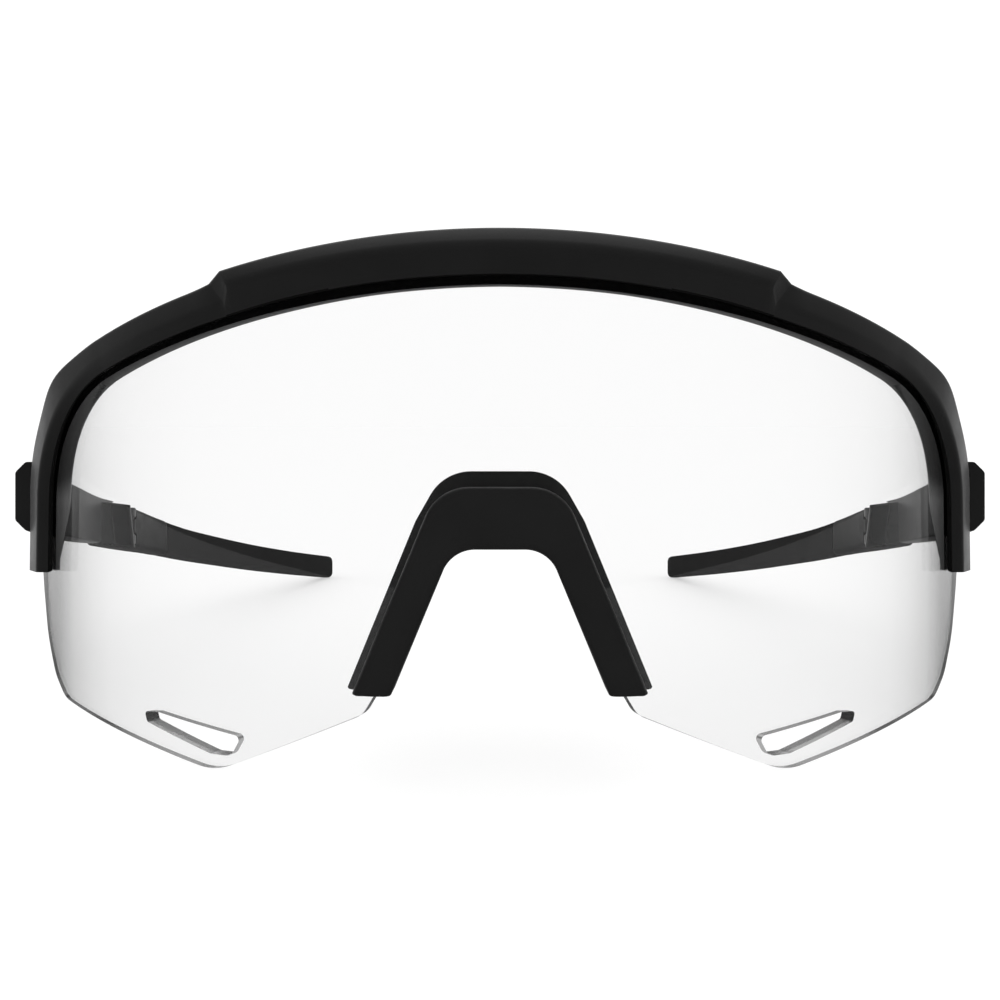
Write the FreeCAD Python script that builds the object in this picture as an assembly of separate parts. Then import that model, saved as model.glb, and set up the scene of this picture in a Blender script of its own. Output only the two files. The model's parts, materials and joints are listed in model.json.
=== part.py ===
import FreeCAD, Part

"""Wraparound sport sunglasses: one cylindrical shield lens in a half frame, with a clip-on nosepiece and two
folding temples. Sizes are in millimetres.

The pieces are drawn as they are worn: X to the wearer's left, Y from the lens towards the ears, Z up, with
the origin on the front of the lens at the height of the hinges. stand_on_table() then leans them into the
pose in which they rest on the two lower lobes of the lens and the two temple tips.
"""
import math
import os

V = FreeCAD.Vector

# Lens: a shell of one vertical cylinder, its edges cut straight from the front.
LENS_RADIUS = 85.0
LENS_THICK = 2.0
LENS_HALF_WIDTH = 70.2
LENS_CORNER_RADIUS = 20.0
LENS_INSERT = 1.4           # how far the top edge reaches up into the groove
LENS_FOOT_Z = -5.0          # the straight sides of the upper outline end here
LENS_SIDE_Z = -1.0          # the lower outline starts here on each side,
LENS_INNER_END = (13.0, -20.0)      # and ends here, inside the nose cut-out
GROOVE_GAP = 0.05           # clearance on each side of the lens in its groove
GROOVE_END_GAP = 0.25       # clearance past the edge of the lens

# The line along which the front lip of the frame meets the lens, seen from the front.
BROW_RADIUS = 168.0
BROW_TOP_Z = 25.5
CORNER_RADIUS = 18.5
LEG_X = 65.2
LEG_FOOT_X = 65.5
LEG_FOOT_Z = -10.5

# Cross-section of the frame, measured outward from that line and rearward from the lens.
LIP_THICK = 1.8
LIP_THICK_LEG = 2.2
FACE_WIDTH = 1.8            # flat front face, before the bevel
FRAME_WIDTH = 5.0           # whole width, face and bevel
FRAME_WIDTH_LEG = 5.12
SHOULDER_SWELL = 0.72       # extra width where the brow turns down into the leg,
SHOULDER_TURN = 0.355       # at this share of the corner,
SHOULDER_SPREAD = 0.15      # over this share of it
BEVEL_BACK = -0.2           # rear edge of the bevel, from the front of the lens
BEVEL_BACK_LEG = 2.6
WALL_WIDTH_LEG = 6.4
UNDERCUT = 1.0              # the front lip is cut away behind, this far out at the lens
REAR_REACH = 0.05           # the rear lip reaches inward past the front lip: at the middle of the brow,
REAR_REACH_SIDE = 0.2       # and from here outward
REAR_REACH_SIDE_X = 25.0
REAR_DEPTH = 1.9            # the rear lip goes back behind the lens: at the middle of the brow,
REAR_DEPTH_LEG = 4.0        # and on the leg,
REAR_DEPTH_START_X = 15.0   # deepening from here
REAR_DEPTH_END_X = 60.0     # to here,
REAR_DEPTH_FOOT = 1.2       # and less again at the foot of the leg,
REAR_DEPTH_FOOT_HIGH = -1.0     # from this height
REAR_DEPTH_FOOT_LOW = -9.0      # to this

# The middle of the brow is thicker and taller, and ends in a chamfered step each side.
CENTRE_LIP_FRONT = -3.3
CENTRE_FRONT_RADIUS = 76.3
CENTRE_FACE_WIDTH = 3.7
CENTRE_WIDTH = 6.17         # at its middle,
CENTRE_WIDTH_END = 6.02     # and at its ends
CENTRE_BEVEL_BACK = -0.8
CENTRE_TUCK = 0.67          # its lower edge turns back this far at each end
CENTRE_END_X = 32.35
STEP_LENGTH = 0.3           # from the end of the middle to the foot of the step, at the lens
STEP_SLANT = 0.16           # lean of the end of the middle, along the brow for each unit of width
FOOT_SLANT = 0.45           # lean of the foot of the step

# End pieces: the arms of the frame that carry the hinges.
END_PIECE = (               # y, inner x, outer x, bottom z, top z
    (33.0, 66.0, 72.6, -4.6, 5.8),
    (37.7, 66.0, 72.6, -5.5, 3.3),
    (43.7, 66.0, 72.5, -6.35, 1.65),
    (50.0, 66.2, 72.2, -7.05, 0.45),
    (56.1, 66.4, 72.0, -7.5, -0.2),
)
END_BEVEL = 1.6

# Shield: a wall that turns inward from the end piece and hides the hinge from the front. Corners in plan.
SHIELD_PLAN = (             # x, y
    (66.7, 49.4),
    (65.3, 51.8),
    (62.45, 52.3),
    (62.45, 53.2),
    (66.7, 53.2),
)
SHIELD_HIGH = -0.3          # top of the shield where it leaves the end piece,
SHIELD_HIGH_FALL = 0.13     # and how much it falls for each unit toward the middle
SHIELD_LOW = -7.1
SHIELD_LOW_FALL = 0.18
SHIELD_SLANT = 0.8          # its foot lies this much nearer the middle

# Hinge: two knuckles on the frame, one on the temple, on a vertical screw.
HINGE_X = 65.6
HINGE_Y = 56.3
HINGE_Z = -4.5
KNUCKLE_RADIUS = 2.6
KNUCKLE_HEIGHT = 1.7
TEMPLE_KNUCKLE_HEIGHT = 2.3
WASHER_THICK = 0.3
WASHER_RADIUS = 2.3
RUNNING_GAP = 0.03
BODY_GAP = 0.3              # between the frame and the temple, apart from the hinge itself
SCREW_RADIUS = 0.8
SCREW_HEAD_RADIUS = 1.4
SCREW_HEAD_HEIGHT = 0.9
SCREW_SLOT_WIDTH = 0.4
SCREW_SLOT_DEPTH = 0.4
BUSH_RADIUS = 1.3
INSERT_RADIUS = 1.4
FRAME_WEB_LENGTH = 3.6      # the webs tie the knuckles to the shield and the end piece,
TEMPLE_WEB_LENGTH = 4.0     # and the temple's knuckle to the arm
TEMPLE_WEB_HALF = 2.2
WEB_START = 0.2
WEB_REACH = 3.0             # how far they reach outward, into the end piece

# Temples: the inner face and mid height, and the section, at stations from the hinge to the tip.
TEMPLE_LINE = (             # inner x, y, middle z
    (63.2, 56.4, -4.55),
    (63.9, 62.0, -5.3),
    (64.2, 72.0, -6.7),
    (63.0, 87.0, -9.05),
    (60.5, 98.5, -10.8),
    (56.3, 114.5, -13.2),
    (52.1, 130.0, -15.25),
    (45.3, 155.4, -18.2),
)
TEMPLE_SECTION = (          # thickness, y, height
    (8.6, 56.4, 6.7),
    (6.3, 62.0, 7.0),
    (4.5, 72.0, 6.7),
    (4.2, 98.5, 6.0),
    (4.0, 130.0, 5.7),
    (3.8, 155.4, 5.8),
)
TEMPLE_START_Y = 56.4
SLEEVE_START_Y = 76.0
TEMPLE_END_Y = 155.4
TEMPLE_STEP = 8.0
TEMPLE_BEVEL = 0.9
TIP_RADIUS = 1.5
TIP_STEPS = 4
TONGUE_INSET = 1.1          # wall of the rubber sleeve
TONGUE_END_Y = 150.0
SLEEVE_GAP = 0.02
CORE_START_Y = 68.0
CORE_END_Y = 147.0
CORE_THICK = 0.8
CORE_HEIGHT = 2.0

# Nosepiece: a clip that straddles the edge of the lens, with a soft pad on each leg.
CLIP_FRONT = 3.0            # thickness in front of the lens
CLIP_REAR = 1.8             # thickness behind the lens
CLIP_FRONT_OUTLINE = (      # x, z, corner radius
    (7.2, 1.5, 5.5),
    (17.2, -22.3, 0.4),
    (15.2, -22.7, 3.0),
    (12.6, -22.5, 0.4),
    (5.5, -5.7, 4.0),
)
CLIP_REAR_OUTLINE = (
    (6.6, 3.4, 5.5),
    (9.95, -2.5, 0.8),
    (18.15, -22.5, 0.4),
    (12.7, -22.5, 0.4),
    (5.7, -5.8, 4.0),
)
NOSE_CUT_OUTLINE = (        # the cut-out of the lens, which runs on downwards past its lower edge
    (6.4, -2.1, 3.4),
    (14.5, -22.6, 1.5),
    (16.0, -60.0, 1.0),
)
PAD_OUTLINE = (
    (11.6, -7.5, 1.5),
    (17.6, -22.0, 1.8),
    (12.9, -22.4, 1.2),
    (7.3, -8.6, 1.5),
)
PAD_FRONT_Y = 3.6
PAD_LEVELS = (              # depth behind the front, spread away from the nose, inset of the outline
    (0.0, 1.0, 0.0),
    (4.5, 1.045, 0.15),
    (6.5, 1.07, 0.6),
)

# Lower edge of the lens: corners with their radii, from the leg of the frame to the nosepiece.
LENS_LOWER_OUTLINE = (
    (70.2, -11.0, 25.0),
    (68.0, -20.3, 18.0),
    (65.4, -25.6, 7.0),
    (62.6, -28.4, 4.0),
    (35.5, -33.75, 8.0),
    (16.3, -25.45, 2.5),
)
VENT_OUTLINE = (
    (46.3, -27.5, 0.4),
    (44.2, -27.3, 1.5),
    (31.8, -29.1, 0.6),
    (33.2, -31.6, 1.3),
    (36.1, -31.6, 1.5),
    (45.9, -28.8, 0.4),
)

# Resting pose: the four lowest points, on the lens lobes and on the temple tips.
LOBE_CONTACT = (10.55, -33.41)     # y, z
TIP_CONTACT = (154.47, -20.88)

# Number of steps in the smooth stretches of the frame.
MIDDLE_STEPS = 6
BROW_STEPS = 4
CORNER_STEPS = 8
LEG_STEPS = 3

SHARP = 0.01                # radius of a corner that is meant to be sharp
BLOCK = 200.0               # larger than the whole object
CUT_FRONT_Y = -20.0         # front outlines are cut from here, ahead of the lens,
CUT_REAR_Y = 60.0           # to here, behind its wrapped ends


def cylinder_y(x, radius):
    """Depth of a vertical cylinder about the lens axis, at the distance x from the middle."""
    return LENS_RADIUS - math.sqrt(radius ** 2 - x ** 2)


def front_point(x, z):
    return V(x, 0, z)


def rounded_wire(corners, point=front_point):
    """Closed outline through (u, v, radius) corners, each rounded by its radius."""
    spots = [V(u, v, 0) for u, v, _ in corners]
    edges = []
    ends = []
    for i, (_, _, radius) in enumerate(corners):
        to_last = (spots[i - 1] - spots[i]).normalize()
        to_next = (spots[(i + 1) % len(spots)] - spots[i]).normalize()
        half = to_last.getAngle(to_next) / 2
        reach = radius / math.tan(half)
        middle = (to_last + to_next).normalize() * (radius / math.sin(half) - radius)
        ends.append([spots[i] + to_last * reach, spots[i] + middle, spots[i] + to_next * reach])
    for i, (start, middle, end) in enumerate(ends):
        following = ends[(i + 1) % len(ends)][0]
        edges.append(Part.Arc(*[point(p.x, p.y) for p in (start, middle, end)]).toShape())
        edges.append(Part.LineSegment(point(end.x, end.y), point(following.x, following.y)).toShape())
    return Part.Wire(edges)


def mirrored_corners(half):
    """Corners of an outline that is the same on both sides, from those of its left half."""
    return list(half) + [(-x, z, radius) for x, z, radius in reversed(half)]


def through(wire):
    """A long solid with the given front outline."""
    solid = Part.Face(wire).extrude(V(0, CUT_REAR_Y - CUT_FRONT_Y, 0))
    solid.translate(V(0, CUT_FRONT_Y, 0))
    return solid


def lens_shell(outer, inner):
    """Wall between two cylinders about the lens axis."""
    base = V(0, LENS_RADIUS, -BLOCK / 2)
    return Part.makeCylinder(outer, BLOCK, base).cut(Part.makeCylinder(inner, BLOCK, base))


def mirrored(shape):
    return shape.mirror(V(0, 0, 0), V(1, 0, 0))


def vertical_rod(radius, low, high):
    """Cylinder on the hinge axis."""
    return Part.makeCylinder(radius, high - low, V(HINGE_X, HINGE_Y, low))


def box_between(low, high):
    low, high = V(*low), V(*high)
    size = high - low
    return Part.makeBox(size.x, size.y, size.z, low)


# ---- the line between the lip and the lens

BROW_CENTRE_Z = BROW_TOP_Z - BROW_RADIUS
CORNER_CENTRE_X = LEG_X - CORNER_RADIUS
CORNER_ANGLE = math.acos(CORNER_CENTRE_X / (BROW_RADIUS - CORNER_RADIUS))
CORNER_CENTRE_Z = BROW_CENTRE_Z + (BROW_RADIUS - CORNER_RADIUS) * math.sin(CORNER_ANGLE)


def brow_station(angle):
    """Point on the brow's arc, with the angle of its outward direction."""
    return BROW_RADIUS * math.cos(angle), BROW_CENTRE_Z + BROW_RADIUS * math.sin(angle), angle


def corner_station(angle):
    x = CORNER_CENTRE_X + CORNER_RADIUS * math.cos(angle)
    z = CORNER_CENTRE_Z + CORNER_RADIUS * math.sin(angle)
    return x, z, angle


def side_stations(start):
    """Stations from the angle start on the brow, round the corner, to the foot of the leg."""
    brow = [brow_station(start + (CORNER_ANGLE - start) * i / BROW_STEPS) for i in range(1, BROW_STEPS)]
    corner = [corner_station(CORNER_ANGLE * (1 - i / CORNER_STEPS)) for i in range(CORNER_STEPS + 1)]
    leg = []
    for i in range(1, LEG_STEPS + 1):
        x = LEG_X + (LEG_FOOT_X - LEG_X) * i / LEG_STEPS
        z = CORNER_CENTRE_Z + (LEG_FOOT_Z - CORNER_CENTRE_Z) * i / LEG_STEPS
        leg.append((x, z, 0.0))
    return brow + corner + leg


def section(station, profile, slant=0.0):
    """Closed polygon across the frame: profile gives (outward distance, y) pairs."""
    x, z, angle = station
    out = V(math.cos(angle), 0, math.sin(angle)) + V(math.sin(angle), 0, -math.cos(angle)) * slant
    points = [V(x, y, z) + out * width for width, y in profile]
    return Part.makePolygon(points + points[:1])


def within(value):
    return min(1.0, max(0.0, value))


def rear_reach(x):
    """How far the rear lip reaches inward past the front lip."""
    return REAR_REACH + (REAR_REACH_SIDE - REAR_REACH) * within(x / REAR_REACH_SIDE_X)


def rear_depth(x, z):
    """How far the rear lip goes back behind the lens."""
    outward = within((x - REAR_DEPTH_START_X) / (REAR_DEPTH_END_X - REAR_DEPTH_START_X))
    down = within((REAR_DEPTH_FOOT_HIGH - z) / (REAR_DEPTH_FOOT_HIGH - REAR_DEPTH_FOOT_LOW))
    return REAR_DEPTH + (REAR_DEPTH_LEG - REAR_DEPTH) * outward - (REAR_DEPTH_LEG - REAR_DEPTH_FOOT) * down


def lens_middle(x):
    """Depth of the middle of the lens's thickness."""
    return cylinder_y(x, LENS_RADIUS - LENS_THICK / 2)


def rear_lip_profile(station):
    """The inner corners of every section: the rear lip, then the step at the lens's own depth."""
    x, z, angle = station
    reach = rear_reach(x)
    edge_x = x - reach * math.cos(angle)
    return [
        (-reach, cylinder_y(edge_x, LENS_RADIUS - LENS_THICK) + rear_depth(x, z)),
        (-reach, lens_middle(edge_x)),
        (UNDERCUT, lens_middle(x + UNDERCUT * math.cos(angle))),
    ]


def frame_profile(station):
    """Section of the frame away from its middle: lip, face, bevel, outer wall and rear lip."""
    x, _, angle = station
    turn = max(0.0, 1 - angle / CORNER_ANGLE)
    swell = SHOULDER_SWELL * math.exp(-((turn - SHOULDER_TURN) / SHOULDER_SPREAD) ** 2)
    front = cylinder_y(x, LENS_RADIUS)
    lip = front - LIP_THICK + (LIP_THICK - LIP_THICK_LEG) * turn
    width = FRAME_WIDTH + (FRAME_WIDTH_LEG - FRAME_WIDTH) * turn + swell
    wall = width + (WALL_WIDTH_LEG - FRAME_WIDTH_LEG) * turn
    wall_y = cylinder_y(x + wall * math.cos(angle), LENS_RADIUS - LENS_THICK) + REAR_DEPTH
    return [
        (0, lip),
        (FACE_WIDTH, lip),
        (width, front + BEVEL_BACK + (BEVEL_BACK_LEG - BEVEL_BACK) * turn),
        (wall, wall_y),
    ] + rear_lip_profile(station)


def centre_profile(station):
    """Section of the thicker middle of the brow."""
    x = station[0]
    front = CENTRE_LIP_FRONT + CENTRE_FRONT_RADIUS - math.sqrt(CENTRE_FRONT_RADIUS ** 2 - x ** 2)
    width = CENTRE_WIDTH + (CENTRE_WIDTH_END - CENTRE_WIDTH) * (x / CENTRE_END_X) ** 2
    return [
        (0, front + CENTRE_TUCK * (x / CENTRE_END_X) ** 2),
        (CENTRE_FACE_WIDTH, front),
        (width, cylinder_y(x, LENS_RADIUS) + CENTRE_BEVEL_BACK),
        (width, cylinder_y(x, LENS_RADIUS - LENS_THICK) + REAR_DEPTH),
    ] + rear_lip_profile(station)


def half_frame():
    """Left half of the brow with its leg: the thick middle, its slanted step, then the slimmer side."""
    turn = math.pi / 2 - math.acos(CENTRE_END_X / BROW_RADIUS)
    middle = [brow_station(math.pi / 2 - turn * i / MIDDLE_STEPS) for i in range(MIDDLE_STEPS + 1)]
    top_wires = [section(s, centre_profile(s)) for s in middle[:-1]]
    top_wires.append(section(middle[-1], centre_profile(middle[-1]), STEP_SLANT))
    foot = brow_station(math.pi / 2 - turn - STEP_LENGTH / BROW_RADIUS)
    step_wires = [top_wires[-1], section(foot, frame_profile(foot), FOOT_SLANT)]
    side_wires = step_wires[1:] + [section(s, frame_profile(s)) for s in side_stations(foot[2])]
    parts = [
        Part.makeLoft(top_wires, True, False),
        Part.makeLoft(step_wires, True, True),
        Part.makeLoft(side_wires, True, False),
    ]
    return parts[0].fuse(parts[1]).fuse(parts[2])


def temple_guide(points):
    """Smooth curve whose parameter is y, through the given stations."""
    curve = Part.BSplineCurve()
    curve.interpolate(Points=[V(*p) for p in points], Parameters=[p[1] for p in points])
    return curve


def bevelled_rectangle(y, inner, outer, low, high, bevel):
    """Upright octagon at the depth y."""
    corners = [
        (inner + bevel, low), (outer - bevel, low), (outer, low + bevel), (outer, high - bevel),
        (outer - bevel, high), (inner + bevel, high), (inner, high - bevel), (inner, low + bevel),
    ]
    points = [V(x, y, z) for x, z in corners]
    return Part.makePolygon(points + points[:1])


def end_piece():
    """Arm from the leg of the frame back to the hinge."""
    wires = []
    for y, inner, outer, low, high in END_PIECE:
        points = [
            V(inner, y, low), V(outer - END_BEVEL, y, low), V(outer, y, low + END_BEVEL),
            V(outer, y, high - END_BEVEL), V(outer - END_BEVEL, y, high), V(inner, y, high),
        ]
        wires.append(Part.makePolygon(points + points[:1]))
    return Part.makeLoft(wires, True, False)


def hinge_shield():
    """Slanted wall in front of the hinge."""
    wires = []
    root_x = SHIELD_PLAN[0][0]
    for z, slant, fall in ((SHIELD_LOW, SHIELD_SLANT, SHIELD_LOW_FALL), (SHIELD_HIGH, 0.0, SHIELD_HIGH_FALL)):
        points = []
        for x, y in SHIELD_PLAN:
            slid_x = x - slant if x < END_PIECE[0][1] else x
            points.append(V(slid_x, y, z - fall * (root_x - slid_x)))
        wires.append(Part.makePolygon(points + points[:1]))
    return Part.makeLoft(wires, True, True)


# ---- hinge levels, from the bottom up

MID_LOW = HINGE_Z - TEMPLE_KNUCKLE_HEIGHT / 2
MID_HIGH = HINGE_Z + TEMPLE_KNUCKLE_HEIGHT / 2
SLOT_LOW = MID_LOW - WASHER_THICK - RUNNING_GAP
SLOT_HIGH = MID_HIGH + WASHER_THICK + RUNNING_GAP
HINGE_LOW = SLOT_LOW - KNUCKLE_HEIGHT
HINGE_HIGH = SLOT_HIGH + KNUCKLE_HEIGHT


def frame_knuckles():
    """Upper and lower knuckle with the webs that tie them to the end piece."""
    knuckles = []
    for low, high in ((HINGE_LOW, SLOT_LOW), (SLOT_HIGH, HINGE_HIGH)):
        web = box_between((HINGE_X, HINGE_Y - FRAME_WEB_LENGTH, low),
                          (HINGE_X + WEB_REACH, HINGE_Y - WEB_START, high))
        knuckles.append(vertical_rod(KNUCKLE_RADIUS, low, high).fuse(web))
    return knuckles


def frame_side():
    """One leg with its end piece and knuckles."""
    side = end_piece().fuse(hinge_shield())
    room = vertical_rod(KNUCKLE_RADIUS + BODY_GAP, SLOT_LOW, SLOT_HIGH)
    side = side.cut(room)
    for knuckle in frame_knuckles():
        side = side.fuse(knuckle)
    side = side.cut(vertical_rod(SCREW_RADIUS, SLOT_HIGH, HINGE_HIGH))
    side = side.cut(vertical_rod(SCREW_HEAD_RADIUS, HINGE_HIGH - SCREW_HEAD_HEIGHT, HINGE_HIGH + 1))
    return side.cut(vertical_rod(INSERT_RADIUS, HINGE_LOW, SLOT_LOW))


def lens_outline(grow=0.0):
    """Front outline of the lens; grow enlarges the part that sits in the frame."""
    radius = LENS_CORNER_RADIUS + grow
    half_width = LENS_HALF_WIDTH + grow
    top_radius = BROW_RADIUS + LENS_INSERT + grow
    centre_x = LENS_HALF_WIDTH - LENS_CORNER_RADIUS
    reach = top_radius - radius
    angle = math.acos(centre_x / reach)
    centre_z = BROW_CENTRE_Z + reach * math.sin(angle)

    def on_corner(turn):
        return V(centre_x + radius * math.cos(turn), 0, centre_z + radius * math.sin(turn))

    top = V(0, 0, BROW_CENTRE_Z + top_radius)
    half_way = math.pi / 4 + angle / 2
    brow = [top, V(top_radius * math.cos(half_way), 0, BROW_CENTRE_Z + top_radius * math.sin(half_way)),
            on_corner(angle)]
    corner = [on_corner(angle), on_corner(angle / 2), on_corner(0)]
    foot = V(half_width, 0, LENS_FOOT_Z)
    right = [V(-p.x, 0, p.z) for p in (brow[2], brow[1], brow[0])]
    edges = [
        Part.Arc(*brow).toShape(),
        Part.Arc(*corner).toShape(),
        Part.LineSegment(corner[2], foot).toShape(),
        Part.LineSegment(foot, V(-foot.x, 0, foot.z)).toShape(),
        Part.LineSegment(V(-foot.x, 0, foot.z), V(-half_width, 0, centre_z)).toShape(),
        Part.Arc(*[V(-p.x, 0, p.z) for p in reversed(corner)]).toShape(),
        Part.Arc(*right).toShape(),
    ]
    return Part.Wire(edges)


def lens_shape():
    """The shield, with its nose cut-out and the two vents near its lower edge."""
    side = (LENS_HALF_WIDTH, LENS_SIDE_Z, SHARP)
    lower = [side, *LENS_LOWER_OUTLINE, (*LENS_INNER_END, SHARP)]
    upper = through(lens_outline())
    lower = through(rounded_wire(mirrored_corners(lower)))
    blank = upper.fuse(lower).common(lens_shell(LENS_RADIUS, LENS_RADIUS - LENS_THICK))
    blank = blank.cut(through(rounded_wire(mirrored_corners(NOSE_CUT_OUTLINE))))
    vent = through(rounded_wire(VENT_OUTLINE))
    return blank.cut(vent).cut(mirrored(vent)).removeSplitter()


def frame_front_shape():
    """Brow, legs and end pieces in one moulding, with a groove for the lens."""
    half = half_frame().fuse(frame_side())
    whole = half.fuse(mirrored(half))
    pocket = through(lens_outline(GROOVE_END_GAP))
    below = box_between((-LENS_HALF_WIDTH - GROOVE_END_GAP, CUT_FRONT_Y, LEG_FOOT_Z * 2),
                        (LENS_HALF_WIDTH + GROOVE_END_GAP, BLOCK, 0))
    pocket = pocket.fuse(below)
    groove = lens_shell(LENS_RADIUS + GROOVE_GAP, LENS_RADIUS - LENS_THICK - GROOVE_GAP)
    return whole.cut(pocket.common(groove)).removeSplitter()


def nosepiece_clip_shape():
    """Front and rear plates joined by a web that fills the nose cut-out of the lens."""
    rear_face = LENS_RADIUS - LENS_THICK - GROOVE_GAP
    front = through(rounded_wire(mirrored_corners(CLIP_FRONT_OUTLINE)))
    rear = through(rounded_wire(mirrored_corners(CLIP_REAR_OUTLINE)))
    front_plate = front.common(lens_shell(LENS_RADIUS + CLIP_FRONT, LENS_RADIUS + GROOVE_GAP))
    rear_plate = rear.common(lens_shell(rear_face, rear_face - CLIP_REAR))
    web = front.common(through(rounded_wire(mirrored_corners(NOSE_CUT_OUTLINE))))
    web = web.common(lens_shell(LENS_RADIUS + CLIP_FRONT / 2, rear_face - CLIP_REAR / 2))
    return front_plate.fuse(rear_plate).fuse(web).removeSplitter()


def nose_pad_shape():
    """Soft pad on the back of the left leg of the clip, flared towards the face."""
    middle_x = sum(c[0] for c in PAD_OUTLINE) / len(PAD_OUTLINE)
    middle_z = sum(c[1] for c in PAD_OUTLINE) / len(PAD_OUTLINE)
    wires = []
    for depth, spread, inset in PAD_LEVELS:
        corners = []
        for x, z, radius in PAD_OUTLINE:
            x += inset * (1 if x < middle_x else -1)
            z += inset * (1 if z < middle_z else -1)
            corners.append((x * spread, z * spread, radius))
        y = PAD_FRONT_Y + depth
        wires.append(rounded_wire(corners, lambda u, v, y=y: V(u, y, v)))
    pad = Part.makeLoft(wires, True, True)
    rear_plate = LENS_RADIUS - LENS_THICK - GROOVE_GAP - CLIP_REAR
    room = Part.makeCylinder(rear_plate - SLEEVE_GAP, BLOCK, V(0, LENS_RADIUS, -BLOCK / 2))
    return pad.common(room)


def temple_wire(y, inset):
    """Section of the temple at the depth y, made smaller all round by inset."""
    spot = temple_guide(TEMPLE_LINE).value(y)
    size = temple_guide(TEMPLE_SECTION).value(y)
    low = spot.z - size.z / 2 + inset
    high = spot.z + size.z / 2 - inset
    bevel = TEMPLE_BEVEL * (1 - inset / 2)
    return bevelled_rectangle(y, spot.x + inset, spot.x + size.x - inset, low, high, bevel)


def temple_loft(start, end, inset):
    """Stretch of the temple from start to end."""
    steps = max(2, round((end - start) / TEMPLE_STEP))
    wires = [temple_wire(start + (end - start) * i / steps, inset) for i in range(steps + 1)]
    return Part.makeLoft(wires, True, False)


def temple_core_shape():
    """Flat metal strip inside the arm, which lets the tip be set by hand."""
    line = temple_guide(TEMPLE_LINE)
    size = temple_guide(TEMPLE_SECTION)
    steps = round((CORE_END_Y - CORE_START_Y) / TEMPLE_STEP)
    wires = []
    for i in range(steps + 1):
        y = CORE_START_Y + (CORE_END_Y - CORE_START_Y) * i / steps
        spot = line.value(y)
        middle = spot.x + size.value(y).x / 2
        points = [
            V(middle - CORE_THICK / 2, y, spot.z - CORE_HEIGHT / 2),
            V(middle + CORE_THICK / 2, y, spot.z - CORE_HEIGHT / 2),
            V(middle + CORE_THICK / 2, y, spot.z + CORE_HEIGHT / 2),
            V(middle - CORE_THICK / 2, y, spot.z + CORE_HEIGHT / 2),
        ]
        wires.append(Part.makePolygon(points + points[:1]))
    return Part.makeLoft(wires, True, False)


def temple_arm_shape(core):
    """Plastic arm: knuckle, head and the tongue that the rubber sleeve slides over."""
    arm = temple_loft(TEMPLE_START_Y, SLEEVE_START_Y, 0.0)
    clear = KNUCKLE_RADIUS + BODY_GAP
    for low, high in ((-BLOCK / 4, MID_LOW), (MID_HIGH, BLOCK / 4)):
        arm = arm.cut(vertical_rod(clear, low, high))
    tongue = temple_loft(SLEEVE_START_Y - 1, TONGUE_END_Y, TONGUE_INSET)
    knuckle = vertical_rod(KNUCKLE_RADIUS, MID_LOW, MID_HIGH)
    web = box_between((HINGE_X - TEMPLE_WEB_HALF, HINGE_Y + WEB_START, MID_LOW),
                      (HINGE_X + TEMPLE_WEB_HALF, HINGE_Y + TEMPLE_WEB_LENGTH, MID_HIGH))
    arm = arm.fuse(knuckle).fuse(web).fuse(tongue)
    arm = arm.cut(vertical_rod(BUSH_RADIUS, MID_LOW - 1, MID_HIGH + 1))
    return arm.cut(core).removeSplitter()


def temple_sleeve_shape():
    """Rubber sleeve over the rear of the arm, closed and rounded at its tip."""
    outer = temple_loft(SLEEVE_START_Y, TEMPLE_END_Y - TIP_RADIUS, 0.0)
    rings = []
    for i in range(TIP_STEPS + 1):
        angle = math.pi / 2 * i / TIP_STEPS
        y = TEMPLE_END_Y - TIP_RADIUS + TIP_RADIUS * math.sin(angle)
        rings.append(temple_wire(y, TIP_RADIUS * (1 - math.cos(angle))))
    outer = outer.fuse(Part.makeLoft(rings, True, True))
    return outer.cut(temple_loft(SLEEVE_START_Y - 1, TONGUE_END_Y + SLEEVE_GAP, TONGUE_INSET - SLEEVE_GAP))


def hinge_screw_shape():
    """Slotted screw from the top of the upper knuckle into the insert below."""
    head_low = HINGE_HIGH - SCREW_HEAD_HEIGHT
    screw = vertical_rod(SCREW_RADIUS, HINGE_LOW, head_low)
    screw = screw.fuse(vertical_rod(SCREW_HEAD_RADIUS, head_low, HINGE_HIGH))
    slot = box_between(
        (HINGE_X - 2, HINGE_Y - SCREW_SLOT_WIDTH / 2, HINGE_HIGH - SCREW_SLOT_DEPTH),
        (HINGE_X + 2, HINGE_Y + SCREW_SLOT_WIDTH / 2, HINGE_HIGH + 1),
    )
    return screw.cut(slot).removeSplitter()


def ring(outer, inner, low, high):
    return vertical_rod(outer, low, high).cut(vertical_rod(inner, low, high))


def hinge_washers_shape():
    """A thin nylon washer above and one below the temple's knuckle."""
    lower = ring(WASHER_RADIUS, SCREW_RADIUS, SLOT_LOW, SLOT_LOW + WASHER_THICK)
    upper = ring(WASHER_RADIUS, SCREW_RADIUS, SLOT_HIGH - WASHER_THICK, SLOT_HIGH)
    return Part.makeCompound([lower, upper])


def all_pieces():
    """Every piece by name, as worn."""
    pieces = {
        "frame_front": frame_front_shape(),
        "lens_shield": lens_shape(),
        "nosepiece_clip": nosepiece_clip_shape(),
    }
    core = temple_core_shape()
    left = {
        "nose_pad": nose_pad_shape(),
        "temple_arm": temple_arm_shape(core),
        "temple_sleeve": temple_sleeve_shape(),
        "temple_core": core,
        "hinge_screw": hinge_screw_shape(),
        "hinge_insert": ring(INSERT_RADIUS, SCREW_RADIUS, HINGE_LOW, SLOT_LOW),
        "hinge_bush": ring(BUSH_RADIUS, SCREW_RADIUS + RUNNING_GAP, MID_LOW, MID_HIGH),
        "hinge_washers": hinge_washers_shape(),
    }
    for name, shape in left.items():
        pieces["left_" + name] = shape
        pieces["right_" + name] = mirrored(shape)
    return pieces


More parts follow.
